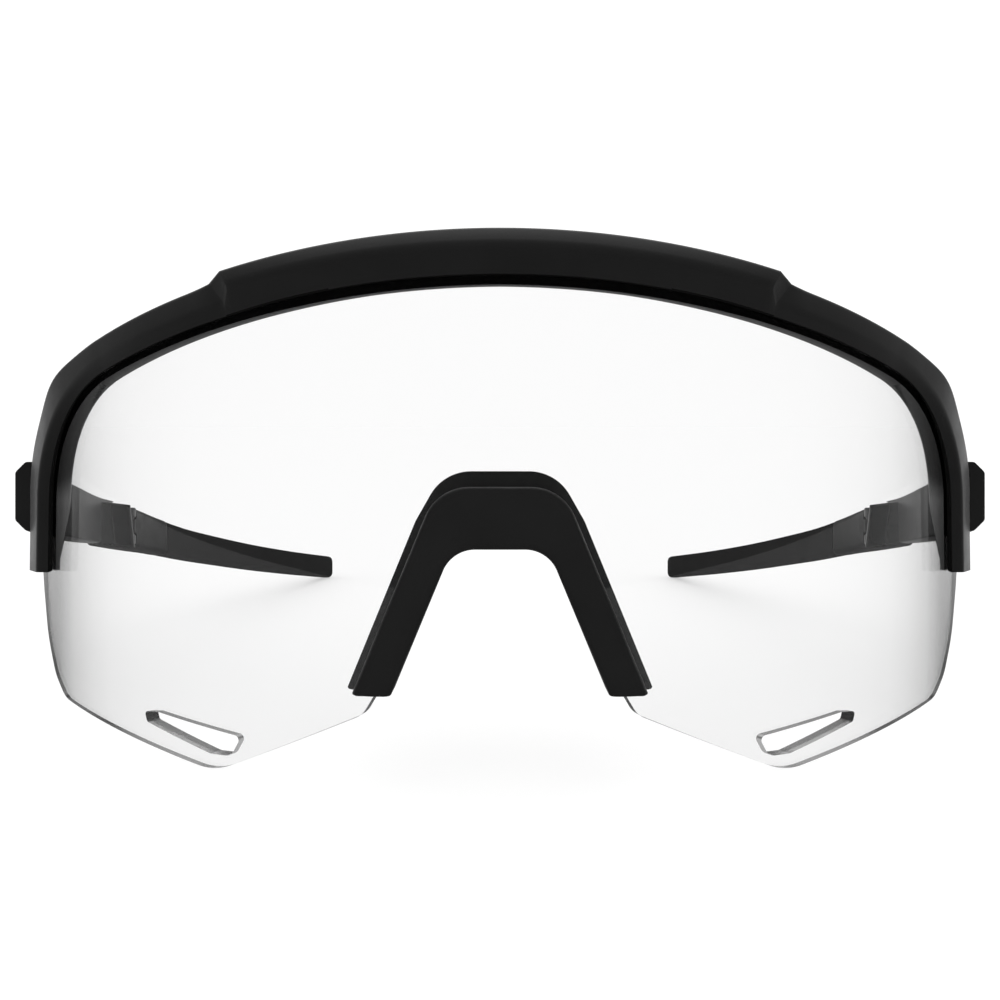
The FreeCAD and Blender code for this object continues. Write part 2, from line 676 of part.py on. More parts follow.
def stand_on_table(pieces):
    """Lean the glasses on to their lens lobes and temple tips, and centre them over the origin."""
    rise = TIP_CONTACT[1] - LOBE_CONTACT[1]
    lean = -math.degrees(math.atan2(rise, TIP_CONTACT[0] - LOBE_CONTACT[0]))
    turn = FreeCAD.Placement(V(0, 0, 0), FreeCAD.Rotation(V(1, 0, 0), lean))
    turned = {name: shape.transformed(turn.toMatrix()) for name, shape in pieces.items()}
    box = Part.makeCompound(list(turned.values())).optimalBoundingBox(False, False)
    shift = V(-(box.XMin + box.XMax) / 2, -(box.YMin + box.YMax) / 2, -box.ZMin)
    for shape in turned.values():
        shape.translate(shift)
    return turned, lean, shift


def main():
    os.makedirs("parts", exist_ok=True)
    placed, lean, shift = stand_on_table(all_pieces())
    for name, shape in placed.items():
        shape.exportStep("parts/" + name + ".step")
        print(f"{name:22s} {shape.Volume:9.2f} mm3  solids {len(shape.Solids)}  valid {shape.isValid()}")
    print(f"lean {lean:.4f} degrees, shift {shift.x:.4f} {shift.y:.4f} {shift.z:.4f}")
    return placed, lean, shift


if __name__ == "__main__":
    main()
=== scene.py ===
"""Looks for the wraparound sport sunglasses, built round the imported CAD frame. Metres, in the row frame."""
import json
import math

import bmesh
import bpy
import numpy as np
from mathutils import Matrix, Vector


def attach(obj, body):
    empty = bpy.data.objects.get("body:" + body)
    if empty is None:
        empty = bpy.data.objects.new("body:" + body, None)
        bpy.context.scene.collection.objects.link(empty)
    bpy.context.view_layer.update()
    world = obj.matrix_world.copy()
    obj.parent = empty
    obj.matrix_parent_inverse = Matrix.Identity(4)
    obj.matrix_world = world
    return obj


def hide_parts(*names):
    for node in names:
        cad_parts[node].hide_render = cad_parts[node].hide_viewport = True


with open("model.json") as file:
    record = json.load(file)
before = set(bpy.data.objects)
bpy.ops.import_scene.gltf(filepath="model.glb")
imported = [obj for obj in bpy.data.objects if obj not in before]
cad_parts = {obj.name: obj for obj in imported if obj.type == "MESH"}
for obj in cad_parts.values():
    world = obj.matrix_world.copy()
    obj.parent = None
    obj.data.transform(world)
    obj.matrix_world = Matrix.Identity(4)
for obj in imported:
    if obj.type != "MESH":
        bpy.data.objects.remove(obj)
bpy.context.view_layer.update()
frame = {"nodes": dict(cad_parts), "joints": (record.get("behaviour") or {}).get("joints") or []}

MM = 0.001

# ---------------- the pose in which the glasses lean
# The shapes are drawn in millimetres as the glasses are worn: x to the wearer's left, y rearward, z up,
# with the origin on the front of the lens at the height of the hinges.
HINGE = (65.6, 56.3, -4.5)
FOLD = next(j for j in frame["joints"] if j["name"] == "left_temple_fold")
LEAN = Matrix.Rotation(-math.atan2(FOLD["axis"][1], FOLD["axis"][2]), 3, "X")
SHIFT = Vector(FOLD["pos_m"]) - LEAN @ (Vector(HINGE) * MM)
LEAN_NP = np.array(LEAN)
SHIFT_NP = np.array(SHIFT)


def to_row(points):
    """Worn millimetres to metres in the row frame."""
    return np.asarray(points, float) * MM @ LEAN_NP.T + SHIFT_NP


# ---------------- shape of the lens and the frame, in mm
LENS_RADIUS = 85.0
LENS_THICK = 2.0
LENS_HALF_WIDTH = 70.2
LENS_CORNER_RADIUS = 20.0
LENS_INSERT = 1.4
GROOVE_GAP = 0.05
GROOVE_END_GAP = 0.25
BROW_RADIUS = 168.0
BROW_TOP_Z = 25.5
CORNER_RADIUS = 18.5
LEG_X = 65.2
LEG_FOOT_X = 65.5
LEG_FOOT_Z = -10.5
LIP_THICK = 1.8
LIP_THICK_LEG = 2.2
FACE_WIDTH = 1.8
FRAME_WIDTH = 5.0
FRAME_WIDTH_LEG = 5.12
SHOULDER_SWELL = 0.72
SHOULDER_TURN = 0.355
SHOULDER_SPREAD = 0.15
BEVEL_BACK = -0.2
BEVEL_BACK_LEG = 2.6
WALL_WIDTH_LEG = 6.4
UNDERCUT = 1.0
GROOVE_SEARCH = 9.0         # the bottom of the groove is searched out to here, by halving
GROOVE_HALVINGS = 30
REAR_REACH = 0.05
REAR_REACH_SIDE = 0.2
REAR_REACH_SIDE_X = 25.0
REAR_DEPTH = 1.9
REAR_DEPTH_LEG = 4.0
REAR_DEPTH_START_X = 15.0
REAR_DEPTH_END_X = 60.0
REAR_DEPTH_FOOT = 1.2
REAR_DEPTH_FOOT_HIGH = -1.0
REAR_DEPTH_FOOT_LOW = -9.0
CENTRE_LIP_FRONT = -3.3
CENTRE_FRONT_RADIUS = 76.3
CENTRE_FACE_WIDTH = 3.7
CENTRE_WIDTH = 6.17
CENTRE_WIDTH_END = 6.02
CENTRE_BEVEL_BACK = -0.8
CENTRE_END_X = 32.35
CENTRE_TUCK = 0.67
STEP_SLANT = 0.4
STEP_LOW = 1.0
STEP_HIGH = 2.75
STEP_FADE = 6.0
CENTRE_RINGS = 44
FADE_RINGS = 8
BROW_RINGS = 36
CORNER_RINGS = 40
LEG_RINGS = 12
BROW_CENTRE_Z = BROW_TOP_Z - BROW_RADIUS
CORNER_CENTRE_X = LEG_X - CORNER_RADIUS
CORNER_ANGLE = math.acos(CORNER_CENTRE_X / (BROW_RADIUS - CORNER_RADIUS))
CORNER_CENTRE_Z = BROW_CENTRE_Z + (BROW_RADIUS - CORNER_RADIUS) * math.sin(CORNER_ANGLE)


def cylinder_y(x, radius):
    """Depth of a cylinder about the lens's axis at x."""
    return LENS_RADIUS - np.sqrt(radius ** 2 - np.asarray(x, float) ** 2)


# ---------------- mesh helpers
def link(data, name):
    """New object in the scene that holds a mesh or a camera."""
    obj = bpy.data.objects.new(name, data)
    bpy.context.scene.collection.objects.link(obj)
    return obj


def make(name, points, faces):
    """Closed mesh from worn millimetres, its normals turned outward."""
    mesh = bpy.data.meshes.new(name)
    mesh.from_pydata([tuple(p) for p in to_row(points)], [], faces)
    bm = bmesh.new()
    bm.from_mesh(mesh)
    bmesh.ops.remove_doubles(bm, verts=bm.verts, dist=1e-8)
    bmesh.ops.recalc_face_normals(bm, faces=bm.faces)
    bm.to_mesh(mesh)
    bm.free()
    return link(mesh, name)


def sweep(name, rings):
    """Closed skin through a list of closed rings with the same number of points, with both ends capped."""
    rings = np.asarray(rings, float)
    count, size = rings.shape[:2]
    points = rings.reshape(-1, 3)
    faces = []
    for i in range(count - 1):
        for j in range(size):
            k = (j + 1) % size
            faces.append((i * size + j, i * size + k, (i + 1) * size + k, (i + 1) * size + j))
    faces.append(tuple(range(size)))
    faces.append(tuple((count - 1) * size + j for j in range(size)))
    return make(name, points, faces)


def rounded(corners, steps=4):
    """Closed outline through (u, v, width of rounding) corners, with steps + 1 points for each corner."""
    spots = np.array([c[:2] for c in corners], float)
    result = []
    for i, (_, _, width) in enumerate(corners):
        here, last, following = spots[i], spots[i - 1], spots[(i + 1) % len(spots)]
        reach_last = min(width, 0.48 * np.linalg.norm(last - here))
        reach_next = min(width, 0.48 * np.linalg.norm(following - here))
        start = here + (last - here) / max(np.linalg.norm(last - here), 1e-9) * reach_last
        end = here + (following - here) / max(np.linalg.norm(following - here), 1e-9) * reach_next
        for k in range(steps + 1):
            t = k / steps
            result.append((1 - t) ** 2 * start + 2 * t * (1 - t) * here + t * t * end)
    return np.array(result)


def rounded_outline(corners, steps):
    """As rounded, but each corner is given by its true radius."""
    spots = np.array([c[:2] for c in corners], float)
    result = []
    for i, (_, _, radius) in enumerate(corners):
        to_last = spots[i - 1] - spots[i]
        to_next = spots[(i + 1) % len(spots)] - spots[i]
        to_last /= np.linalg.norm(to_last)
        to_next /= np.linalg.norm(to_next)
        half = math.acos(np.clip(to_last @ to_next, -1, 1)) / 2
        inward = (to_last + to_next) / np.linalg.norm(to_last + to_next)
        centre = spots[i] + inward * radius / math.sin(half)
        start = spots[i] + to_last * radius / math.tan(half) - centre
        end = spots[i] + to_next * radius / math.tan(half) - centre
        a = math.atan2(start[1], start[0])
        turn = math.atan2(start[0] * end[1] - start[1] * end[0], start @ end)
        for k in range(steps + 1):
            angle = a + turn * k / steps
            result.append(centre + radius * np.array([math.cos(angle), math.sin(angle)]))
    return np.array(result)


def mirror_object(obj, name):
    """The same piece on the other side."""
    mesh = obj.data.copy()
    mesh.name = name
    mesh.transform(Matrix.Scale(-1, 4, (1, 0, 0)))
    mesh.flip_normals()
    return link(mesh, name)


def boolean(obj, others, operation):
    """Joins or cuts closed meshes; the others are used up."""
    bpy.context.view_layer.objects.active = obj
    for other in others:
        mod = obj.modifiers.new("join", "BOOLEAN")
        mod.operation = operation
        mod.object = other
        mod.solver = "MANIFOLD"
        bpy.ops.object.modifier_apply(modifier=mod.name)
        bpy.data.objects.remove(other)
    return obj


def smooth(obj, degrees):
    """Smooth shading, with edges sharper than the angle left sharp."""
    obj.data.shade_smooth()
    obj.data.set_sharp_from_angle(angle=math.radians(degrees))


def rod(low, high, radius, chamfer=0.0, count=48):
    """Upright rod about the hinge's axis, with softened rims if chamfer isn't 0."""
    levels = [(low, radius), (high, radius)]
    if chamfer:
        small = radius - chamfer
        levels = [(low, small), (low + chamfer, radius), (high - chamfer, radius), (high, small)]
    angles = np.arange(count) * 2 * math.pi / count
    rings = []
    for z, r in levels:
        x, y = HINGE[0] + r * np.cos(angles), HINGE[1] + r * np.sin(angles)
        rings.append(np.stack([x, y, np.full(count, z)], 1))
    return sweep("rod", rings)


def box_piece(low, high, soft):
    """Upright block with rounded upright edges."""
    outline = rounded([
        (low[0], low[1], soft), (high[0], low[1], soft), (high[0], high[1], soft), (low[0], high[1], soft)])
    rings = [np.column_stack([outline, np.full(len(outline), z)]) for z in (low[2], high[2])]
    return sweep("block", rings)


# ---------------- frame front
def brow_station(angle):
    """Point of the lip's line on the brow, with the outward angle there."""
    return BROW_RADIUS * math.cos(angle), BROW_CENTRE_Z + BROW_RADIUS * math.sin(angle), angle


def corner_station(angle):
    """As brow_station, round the corner between the brow and the leg."""
    x = CORNER_CENTRE_X + CORNER_RADIUS * math.cos(angle)
    return x, CORNER_CENTRE_Z + CORNER_RADIUS * math.sin(angle), angle


def rear_reach(x):
    """How far the rear lip reaches inward past the front lip."""
    return np.interp(x, (0, REAR_REACH_SIDE_X), (REAR_REACH, REAR_REACH_SIDE))


def rear_depth(x, z):
    """How far the rear lip goes back behind the lens: most in the legs, and less again at their feet."""
    side = np.interp(x, (REAR_DEPTH_START_X, REAR_DEPTH_END_X), (REAR_DEPTH, REAR_DEPTH_LEG))
    foot_drop = (REAR_DEPTH_FOOT - REAR_DEPTH_LEG, 0)
    return side + np.interp(z, (REAR_DEPTH_FOOT_LOW, REAR_DEPTH_FOOT_HIGH), foot_drop)


LENS_TOP_RADIUS = BROW_RADIUS + LENS_INSERT
LENS_CORNER_X = LENS_HALF_WIDTH - LENS_CORNER_RADIUS
LENS_CORNER_ANGLE = math.acos(LENS_CORNER_X / (LENS_TOP_RADIUS - LENS_CORNER_RADIUS))
LENS_CORNER_Z = BROW_CENTRE_Z + (LENS_TOP_RADIUS - LENS_CORNER_RADIUS) * math.sin(LENS_CORNER_ANGLE)


def groove_depth(station):
    """How far the groove goes outward from the lip at a station."""
    x, z, angle = station
    low, high = 0.0, GROOVE_SEARCH
    for _ in range(GROOVE_HALVINGS):
        w = (low + high) / 2
        px, pz = x + w * math.cos(angle), z + w * math.sin(angle)
        inside = px < LENS_HALF_WIDTH + GROOVE_END_GAP
        inside = inside and math.hypot(px, pz - BROW_CENTRE_Z) < LENS_TOP_RADIUS + GROOVE_END_GAP
        if px > LENS_CORNER_X and pz > LENS_CORNER_Z:
            away = math.hypot(px - LENS_CORNER_X, pz - LENS_CORNER_Z)
            inside = inside and away < LENS_CORNER_RADIUS + GROOVE_END_GAP
        low, high = (w, high) if inside else (low, w)
    return low


def inner_corners(station):
    """Rear lip and groove, the same all along the frame: (outward, y, rounding)."""
    x, z, angle = station
    reach = rear_reach(x)
    edge_x = x - reach * math.cos(angle)
    depth = groove_depth(station)
    groove_x = x + depth * math.cos(angle)
    rear = LENS_RADIUS - LENS_THICK - GROOVE_GAP
    return [
        (-reach, cylinder_y(edge_x, LENS_RADIUS - LENS_THICK) + rear_depth(x, z), 0.5),
        (-reach, cylinder_y(edge_x, rear), 0.12),
        (depth, cylinder_y(groove_x, rear), 0.05),
        (depth, cylinder_y(groove_x, LENS_RADIUS + GROOVE_GAP), 0.05),
        (UNDERCUT, cylinder_y(x + UNDERCUT * math.cos(angle), LENS_RADIUS + GROOVE_GAP), 0.12),
    ]


def side_corners(station):
    """Section of the frame from the step in the brow to the foot of the leg."""
    x, _, angle = station
    turn = max(0.0, 1 - angle / CORNER_ANGLE)
    swell = SHOULDER_SWELL * math.exp(-((turn - SHOULDER_TURN) / SHOULDER_SPREAD) ** 2)
    front = cylinder_y(x, LENS_RADIUS)
    lip = front - LIP_THICK + (LIP_THICK - LIP_THICK_LEG) * turn
    width = FRAME_WIDTH + (FRAME_WIDTH_LEG - FRAME_WIDTH) * turn + swell
    wall = width + (WALL_WIDTH_LEG - FRAME_WIDTH_LEG) * turn
    wall_y = cylinder_y(x + wall * math.cos(angle), LENS_RADIUS - LENS_THICK) + REAR_DEPTH
    return [
        (0.0, lip, 0.3),
        (FACE_WIDTH, lip, 0.7),
        (width, front + BEVEL_BACK + (BEVEL_BACK_LEG - BEVEL_BACK) * turn, 0.6),
        (wall, wall_y, 0.6),
    ] + inner_corners(station)


def centre_corners(station):
    """Section of the thicker middle of the brow."""
    x = station[0]
    front = CENTRE_LIP_FRONT + CENTRE_FRONT_RADIUS - math.sqrt(CENTRE_FRONT_RADIUS ** 2 - x ** 2)
    width = CENTRE_WIDTH + (CENTRE_WIDTH_END - CENTRE_WIDTH) * (x / CENTRE_END_X) ** 2
    return [
        (0.0, front + CENTRE_TUCK * (x / CENTRE_END_X) ** 2, 0.3),
        (CENTRE_FACE_WIDTH, front, 0.9),
        (width, cylinder_y(x, LENS_RADIUS) + CENTRE_BEVEL_BACK, 0.6),
        (width, cylinder_y(x, LENS_RADIUS - LENS_THICK) + REAR_DEPTH, 0.6),
    ] + inner_corners(station)


def ring_at(station, corners, slide=None):
    """Ring of points across the frame; slide moves each point along the brow by an amount for its width."""
    x, z, angle = station
    profile = rounded(corners)
    w, y = profile[:, 0], profile[:, 1]
    along = slide(w) if slide is not None else np.zeros_like(w)
    return np.stack([
        x + w * math.cos(angle) + along * math.sin(angle),
        y,
        z + w * math.sin(angle) - along * math.cos(angle),
    ], 1)


def frame_rings():
    """Rings from the middle of the brow to the foot of the left leg."""
    end_angle = math.acos(CENTRE_END_X / BROW_RADIUS)
    top = math.pi / 2
    rings = []

    def step_slide(w):
        return STEP_SLANT * np.maximum(w - CENTRE_FACE_WIDTH, 0)

    for i in range(CENTRE_RINGS + 1):
        station = brow_station(top + (end_angle - top) * i / CENTRE_RINGS)
        share = (i / CENTRE_RINGS) ** 3
        rings.append(ring_at(station, centre_corners(station), lambda w, s=share: step_slide(w) * s))
    centre_end = brow_station(end_angle)
    first = brow_station(end_angle - STEP_LOW / BROW_RADIUS)

    def foot_slide(w):
        rise = np.clip((w - FACE_WIDTH) / (FRAME_WIDTH - FACE_WIDTH), 0, 1.1)
        return (STEP_HIGH - STEP_LOW) * rise

    start_ring = ring_at(centre_end, centre_corners(centre_end), step_slide)
    foot_ring = ring_at(first, side_corners(first), foot_slide)
    for t in (0.08, 0.92):          # the chamfer of the step, with softened ends
        rings.append(start_ring + (foot_ring - start_ring) * t)
    rings.append(foot_ring)
    fade_angle = end_angle - STEP_FADE / BROW_RADIUS
    for i in range(1, FADE_RINGS + 1):
        t = i / FADE_RINGS
        station = brow_station(first[2] + (fade_angle - first[2]) * t)
        rings.append(ring_at(station, side_corners(station), lambda w, t=t: foot_slide(w) * (1 - t) ** 1.5))
    for i in range(1, BROW_RINGS + 1):
        station = brow_station(fade_angle + (CORNER_ANGLE - fade_angle) * i / BROW_RINGS)
        rings.append(ring_at(station, side_corners(station)))
    for i in range(1, CORNER_RINGS + 1):
        station = corner_station(CORNER_ANGLE * (1 - i / CORNER_RINGS))
        rings.append(ring_at(station, side_corners(station)))
    for i in range(1, LEG_RINGS + 1):
        t = i / LEG_RINGS
        x = LEG_X + (LEG_FOOT_X - LEG_X) * t
        z = CORNER_CENTRE_Z + (LEG_FOOT_Z - CORNER_CENTRE_Z) * t
        rings.append(ring_at((x, z, 0.0), side_corners((x, z, 0.0))))
    return np.array(rings)


left_rings = frame_rings()
right_rings = left_rings[:0:-1] * np.array([-1, 1, 1])
skin = sweep("frame_front_shell", np.concatenate([right_rings, left_rings]))

END_PIECE = (               # y, inner x, outer x, bottom z, top z
    (33.0, 66.0, 72.59, -4.6, 5.8),
    (37.7, 66.0, 72.59, -5.5, 3.3),
    (43.7, 66.0, 72.5, -6.35, 1.65),
    (50.0, 66.2, 72.2, -7.05, 0.45),
    (56.1, 66.4, 72.0, -7.5, -0.2),
)
END_BEVEL = 1.6
SHIELD_PLAN = (             # x, y, rounding
    (66.7, 49.4, 0.3), (65.3, 51.8, 0.25), (62.45, 52.3, 0.35), (62.45, 53.2, 0.35), (66.7, 53.2, 0.1))
SHIELD_SLANT_X = 66.0       # the plan's points nearer the middle than this slant with the height
SHIELD_REAR_Y = 53.0
SHIELD_HIGH = -0.3
SHIELD_HIGH_FALL = 0.13
SHIELD_LOW = -7.1
SHIELD_LOW_FALL = 0.18
SHIELD_SLANT = 0.8
SHIELD_SOFT = 0.2
KNUCKLE_RADIUS = 2.6
KNUCKLE_HEIGHT = 1.7
WEB_START = 0.2             # the webs start this far from the hinge's axis
FRAME_WEB_LENGTH = 3.6
FRAME_WEB_WIDTH = 3.0
FRAME_WEB_INSET = 0.03      # the webs are this much lower than their knuckles, above and below
TEMPLE_WEB_LENGTH = 4.0
TEMPLE_WEB_HALF_WIDTH = 2.2
TEMPLE_WEB_INSET = 0.02
WEB_ROUNDING = 0.1
BORE_PAST = 1.0             # a bore is cut this far past a free face, and this far past an inner one
BORE_LAP = 0.01
TEMPLE_KNUCKLE_HEIGHT = 2.3
WASHER_THICK = 0.3
RUNNING_GAP = 0.03
BODY_GAP = 0.3
SCREW_RADIUS = 0.8
SCREW_HEAD_RADIUS = 1.4
SCREW_HEAD_HEIGHT = 0.9
INSERT_RADIUS = 1.4
BUSH_RADIUS = 1.3
MID_LOW = HINGE[2] - TEMPLE_KNUCKLE_HEIGHT / 2
MID_HIGH = HINGE[2] + TEMPLE_KNUCKLE_HEIGHT / 2
SLOT_LOW = MID_LOW - WASHER_THICK - RUNNING_GAP
SLOT_HIGH = MID_HIGH + WASHER_THICK + RUNNING_GAP
HINGE_LOW = SLOT_LOW - KNUCKLE_HEIGHT
HINGE_HIGH = SLOT_HIGH + KNUCKLE_HEIGHT


def spline(stations, y):
    """Smooth value at y through stations that hold y in their first column."""
    table = np.array(stations, float)
    ys = table[:, 0]
    y = np.atleast_1d(np.asarray(y, float))
    slopes = np.gradient(table[:, 1:], ys, axis=0)
    i = np.clip(np.searchsorted(ys, y) - 1, 0, len(ys) - 2)
    h = (ys[i + 1] - ys[i])[:, None]
    t = ((y - ys[i])[:, None]) / h
    a, b = table[i, 1:], table[i + 1, 1:]
    return ((2 * t ** 3 - 3 * t ** 2 + 1) * a + (t ** 3 - 2 * t ** 2 + t) * h * slopes[i]
            + (-2 * t ** 3 + 3 * t ** 2) * b + (t ** 3 - t ** 2) * h * slopes[i + 1])


def end_piece():
    """Block that reaches back from the corner of the frame to the hinge."""
    rings = []
    front, back = END_PIECE[0][0], END_PIECE[-1][0]
    ys = np.concatenate([[front, front + 0.1, front + 0.3], np.linspace(front + 0.6, back - 0.5, 30),
                         [back - 0.2, back]])
    pull = np.zeros(len(ys))    # rounds the front and rear rims
    pull[0], pull[1], pull[-1], pull[-2] = 0.12, 0.03, 0.3, 0.08
    for y, p in zip(ys, pull):
        inner, outer, low, high = spline(END_PIECE, y)[0]
        outline = rounded([
            (inner, low, 0.3), (outer - END_BEVEL, low + p, 0.3), (outer - p, low + END_BEVEL, 0.3),
            (outer - p, high - END_BEVEL, 0.3), (outer - END_BEVEL, high - p, 0.3), (inner, high, 0.5)])
        rings.append(np.stack([outline[:, 0], np.full(len(outline), y), outline[:, 1]], 1))
    return sweep("end_piece", rings)


def hinge_shield():
    """Wall in front of the hinge, slanted toward the middle at its foot."""
    rings = []
    levels = (                  # z, share of the slant, rounding, fall toward the middle
        (SHIELD_LOW, 1.0, SHIELD_SOFT, SHIELD_LOW_FALL),
        (SHIELD_LOW + SHIELD_SOFT, 0.97, 0.0, SHIELD_LOW_FALL),
        (SHIELD_HIGH - SHIELD_SOFT, 0.03, 0.0, SHIELD_HIGH_FALL),
        (SHIELD_HIGH, 0.0, SHIELD_SOFT, SHIELD_HIGH_FALL))
    for z, slant, soft, fall in levels:
        plan = []
        for x, y, r in SHIELD_PLAN:
            slanted = x - SHIELD_SLANT * slant if x < SHIELD_SLANT_X else x
            plan.append((slanted, y + (soft if y < SHIELD_REAR_Y else -soft * 0.3), r))
        outline = rounded(plan, 5)
        drop = fall * (SHIELD_PLAN[0][0] - outline[:, 0])
        rings.append(np.column_stack([outline, z - drop]))
    return sweep("shield", rings)


def side_parts():
    """End piece with the shield, the knuckles and their webs, bored for the screw."""
    side = end_piece()
    room = rod(SLOT_LOW, SLOT_HIGH, KNUCKLE_RADIUS + BODY_GAP, count=64)
    side = boolean(side, [room], "DIFFERENCE")
    joined = [hinge_shield()]
    for low, high in ((HINGE_LOW, SLOT_LOW), (SLOT_HIGH, HINGE_HIGH)):
        joined.append(rod(low, high, KNUCKLE_RADIUS, 0.2, 64))
        web_low = (HINGE[0], HINGE[1] - FRAME_WEB_LENGTH, low + FRAME_WEB_INSET)
        web_high = (HINGE[0] + FRAME_WEB_WIDTH, HINGE[1] - WEB_START, high - FRAME_WEB_INSET)
        joined.append(box_piece(web_low, web_high, WEB_ROUNDING))
    side = boolean(side, joined, "UNION")
    cuts = [
        rod(SLOT_HIGH - BORE_LAP, HINGE_HIGH, SCREW_RADIUS),
        rod(HINGE_HIGH - SCREW_HEAD_HEIGHT, HINGE_HIGH + BORE_PAST, SCREW_HEAD_RADIUS),
        rod(HINGE_LOW - BORE_PAST, SLOT_LOW + BORE_LAP, INSERT_RADIUS),
    ]
    return boolean(side, cuts, "DIFFERENCE")


left_side = side_parts()
right_side = mirror_object(left_side, "right_side")
frame_front = boolean(skin, [left_side, right_side], "UNION")
smooth(frame_front, 32)

# ---------------- lens
# outlines on the lens: x, z, radius of the corner
LENS_LOWER_OUTLINE = (
    (70.2, -11.0, 25.0), (68.0, -20.3, 18.0), (65.4, -25.6, 7.0), (62.6, -28.4, 4.0), (35.5, -33.72, 8.0),
    (16.3, -25.45, 2.5))
LENS_SIDE_POINT = (70.2, -1.0, 0.01)    # the lower outline starts here and closes over two more
LENS_INNER_POINTS = ((13.0, -20.0, 0.01), (0.0, -5.0, 0.01))
LENS_TOP_STEPS = 60
LENS_CORNER_STEPS = 29
LENS_LOWER_STEPS = 12
NOSE_CUT_OUTLINE = ((6.4, -2.1, 3.4), (14.5, -22.6, 1.5), (16.0, -60.0, 1.0))
VENT_OUTLINE = (
    (46.3, -27.5, 0.4), (44.2, -27.3, 1.5), (31.8, -29.1, 0.6), (33.2, -31.6, 1.3), (36.1, -31.6, 1.5),
    (45.9, -28.8, 0.4))
BLANK_HALF_WIDTH = 90.0
BLANK_COLUMNS = 450
BLANK_HEIGHTS = (-60.0, 40.0)
PRISM_DEPTHS = (-3.0, 6.0)
PRISM_SPACING = 1.5
LENS_FACE_MATCH = 0.98      # faces turned this close to straight out or in belong to the two large faces


def mirrored_corners(half_outline):
    """Closed outline from its left half."""
    return list(half_outline) + [(-x, z, r) for x, z, r in reversed(half_outline)]


def lens_outline():
    """Front outline of the whole lens without its nose cut-out, counted from the top round its left side."""
    left = []
    for i in range(LENS_TOP_STEPS):
        a = math.pi / 2 + (LENS_CORNER_ANGLE - math.pi / 2) * i / LENS_TOP_STEPS
        left.append((LENS_TOP_RADIUS * math.cos(a), BROW_CENTRE_Z + LENS_TOP_RADIUS * math.sin(a)))
    for i in range(LENS_CORNER_STEPS + 1):
        a = LENS_CORNER_ANGLE * (1 - i / LENS_CORNER_STEPS)
        x = LENS_CORNER_X + LENS_CORNER_RADIUS * math.cos(a)
        left.append((x, LENS_CORNER_Z + LENS_CORNER_RADIUS * math.sin(a)))
    corners = [LENS_SIDE_POINT, *LENS_LOWER_OUTLINE, *LENS_INNER_POINTS]
    lower = rounded_outline(corners, LENS_LOWER_STEPS)
    corner_points = LENS_LOWER_STEPS + 1
    left += [tuple(p) for p in lower[corner_points:corner_points * (len(LENS_LOWER_OUTLINE) + 2)]]
    right = [(-x, z) for x, z in reversed(left[1:])]
    return left + right


def prism(outline):
    """Block with the given front outline for the flattened lens, where x is the length along its face."""
    closed = np.asarray(outline, float)
    closed = np.concatenate([closed, closed[:1]])
    points = []
    for a, b in zip(closed[:-1], closed[1:]):
        count = max(1, int(np.linalg.norm(b - a) / PRISM_SPACING))
        points += [a + (b - a) * k / count for k in range(count)]
    points = np.array(points)
    points[:, 0] = LENS_RADIUS * np.arcsin(points[:, 0] / LENS_RADIUS)
    rings = [np.stack([points[:, 0], np.full(len(points), y), points[:, 1]], 1) for y in PRISM_DEPTHS]
    return sweep("prism", rings)


def lens_blank():
    """Flattened sheet in narrow columns, wider and taller than the lens."""
    xs = np.linspace(-BLANK_HALF_WIDTH, BLANK_HALF_WIDTH, BLANK_COLUMNS + 1)
    loop = [(x, 0.0) for x in xs] + [(x, LENS_THICK) for x in xs[::-1]]
    rings = [np.column_stack([loop, np.full(len(loop), z)]) for z in BLANK_HEIGHTS]
    return sweep("lens_clear", rings)


def wrap(obj):
    """Bends the flattened lens round its cylinder, so that its edges stay square to its faces."""
    co = np.array([v.co for v in obj.data.vertices])
    flat = (co - SHIFT_NP) @ LEAN_NP / MM
    turn = flat[:, 0] / LENS_RADIUS
    radius = LENS_RADIUS - flat[:, 1]
    bent = np.stack([radius * np.sin(turn), LENS_RADIUS - radius * np.cos(turn), flat[:, 2]], 1)
    obj.data.vertices.foreach_set("co", to_row(bent).ravel())
    obj.data.update()


lens = boolean(lens_blank(), [prism(lens_outline())], "INTERSECT")
vent = prism(rounded_outline(VENT_OUTLINE, 8))
vent_other = mirror_object(vent, "vent")
nose = prism(rounded_outline(mirrored_corners(NOSE_CUT_OUTLINE), 16))
lens = boolean(lens, [vent, vent_other, nose], "DIFFERENCE")
wrap(lens)


def from_lens_axis(points):
    """Directions from the lens's axis to points in the row frame, square to the axis."""
    up = LEAN_NP @ np.array([0, 0, 1.0])
    away = points - to_row([(0, LENS_RADIUS, 0)])[0]
    away -= np.outer(away @ up, up)
    return away / np.linalg.norm(away, axis=1)[:, None]


def set_lens_normals(obj):
    """The two large faces get the cylinder's own normals."""
    mesh = obj.data
    smooth(obj, 30)
    away = from_lens_axis(np.array([v.co for v in mesh.vertices]))
    normals = np.zeros((len(mesh.loops), 3))
    for poly in mesh.polygons:
        n = np.array(poly.normal)
        spots = list(poly.vertices)
        facing = np.mean(away[spots] @ n)
        if abs(facing) > LENS_FACE_MATCH:
            for loop, vertex in zip(poly.loop_indices, spots):
                normals[loop] = away[vertex] * np.sign(facing)
    mesh.normals_split_custom_set([tuple(n) for n in normals])


set_lens_normals(lens)

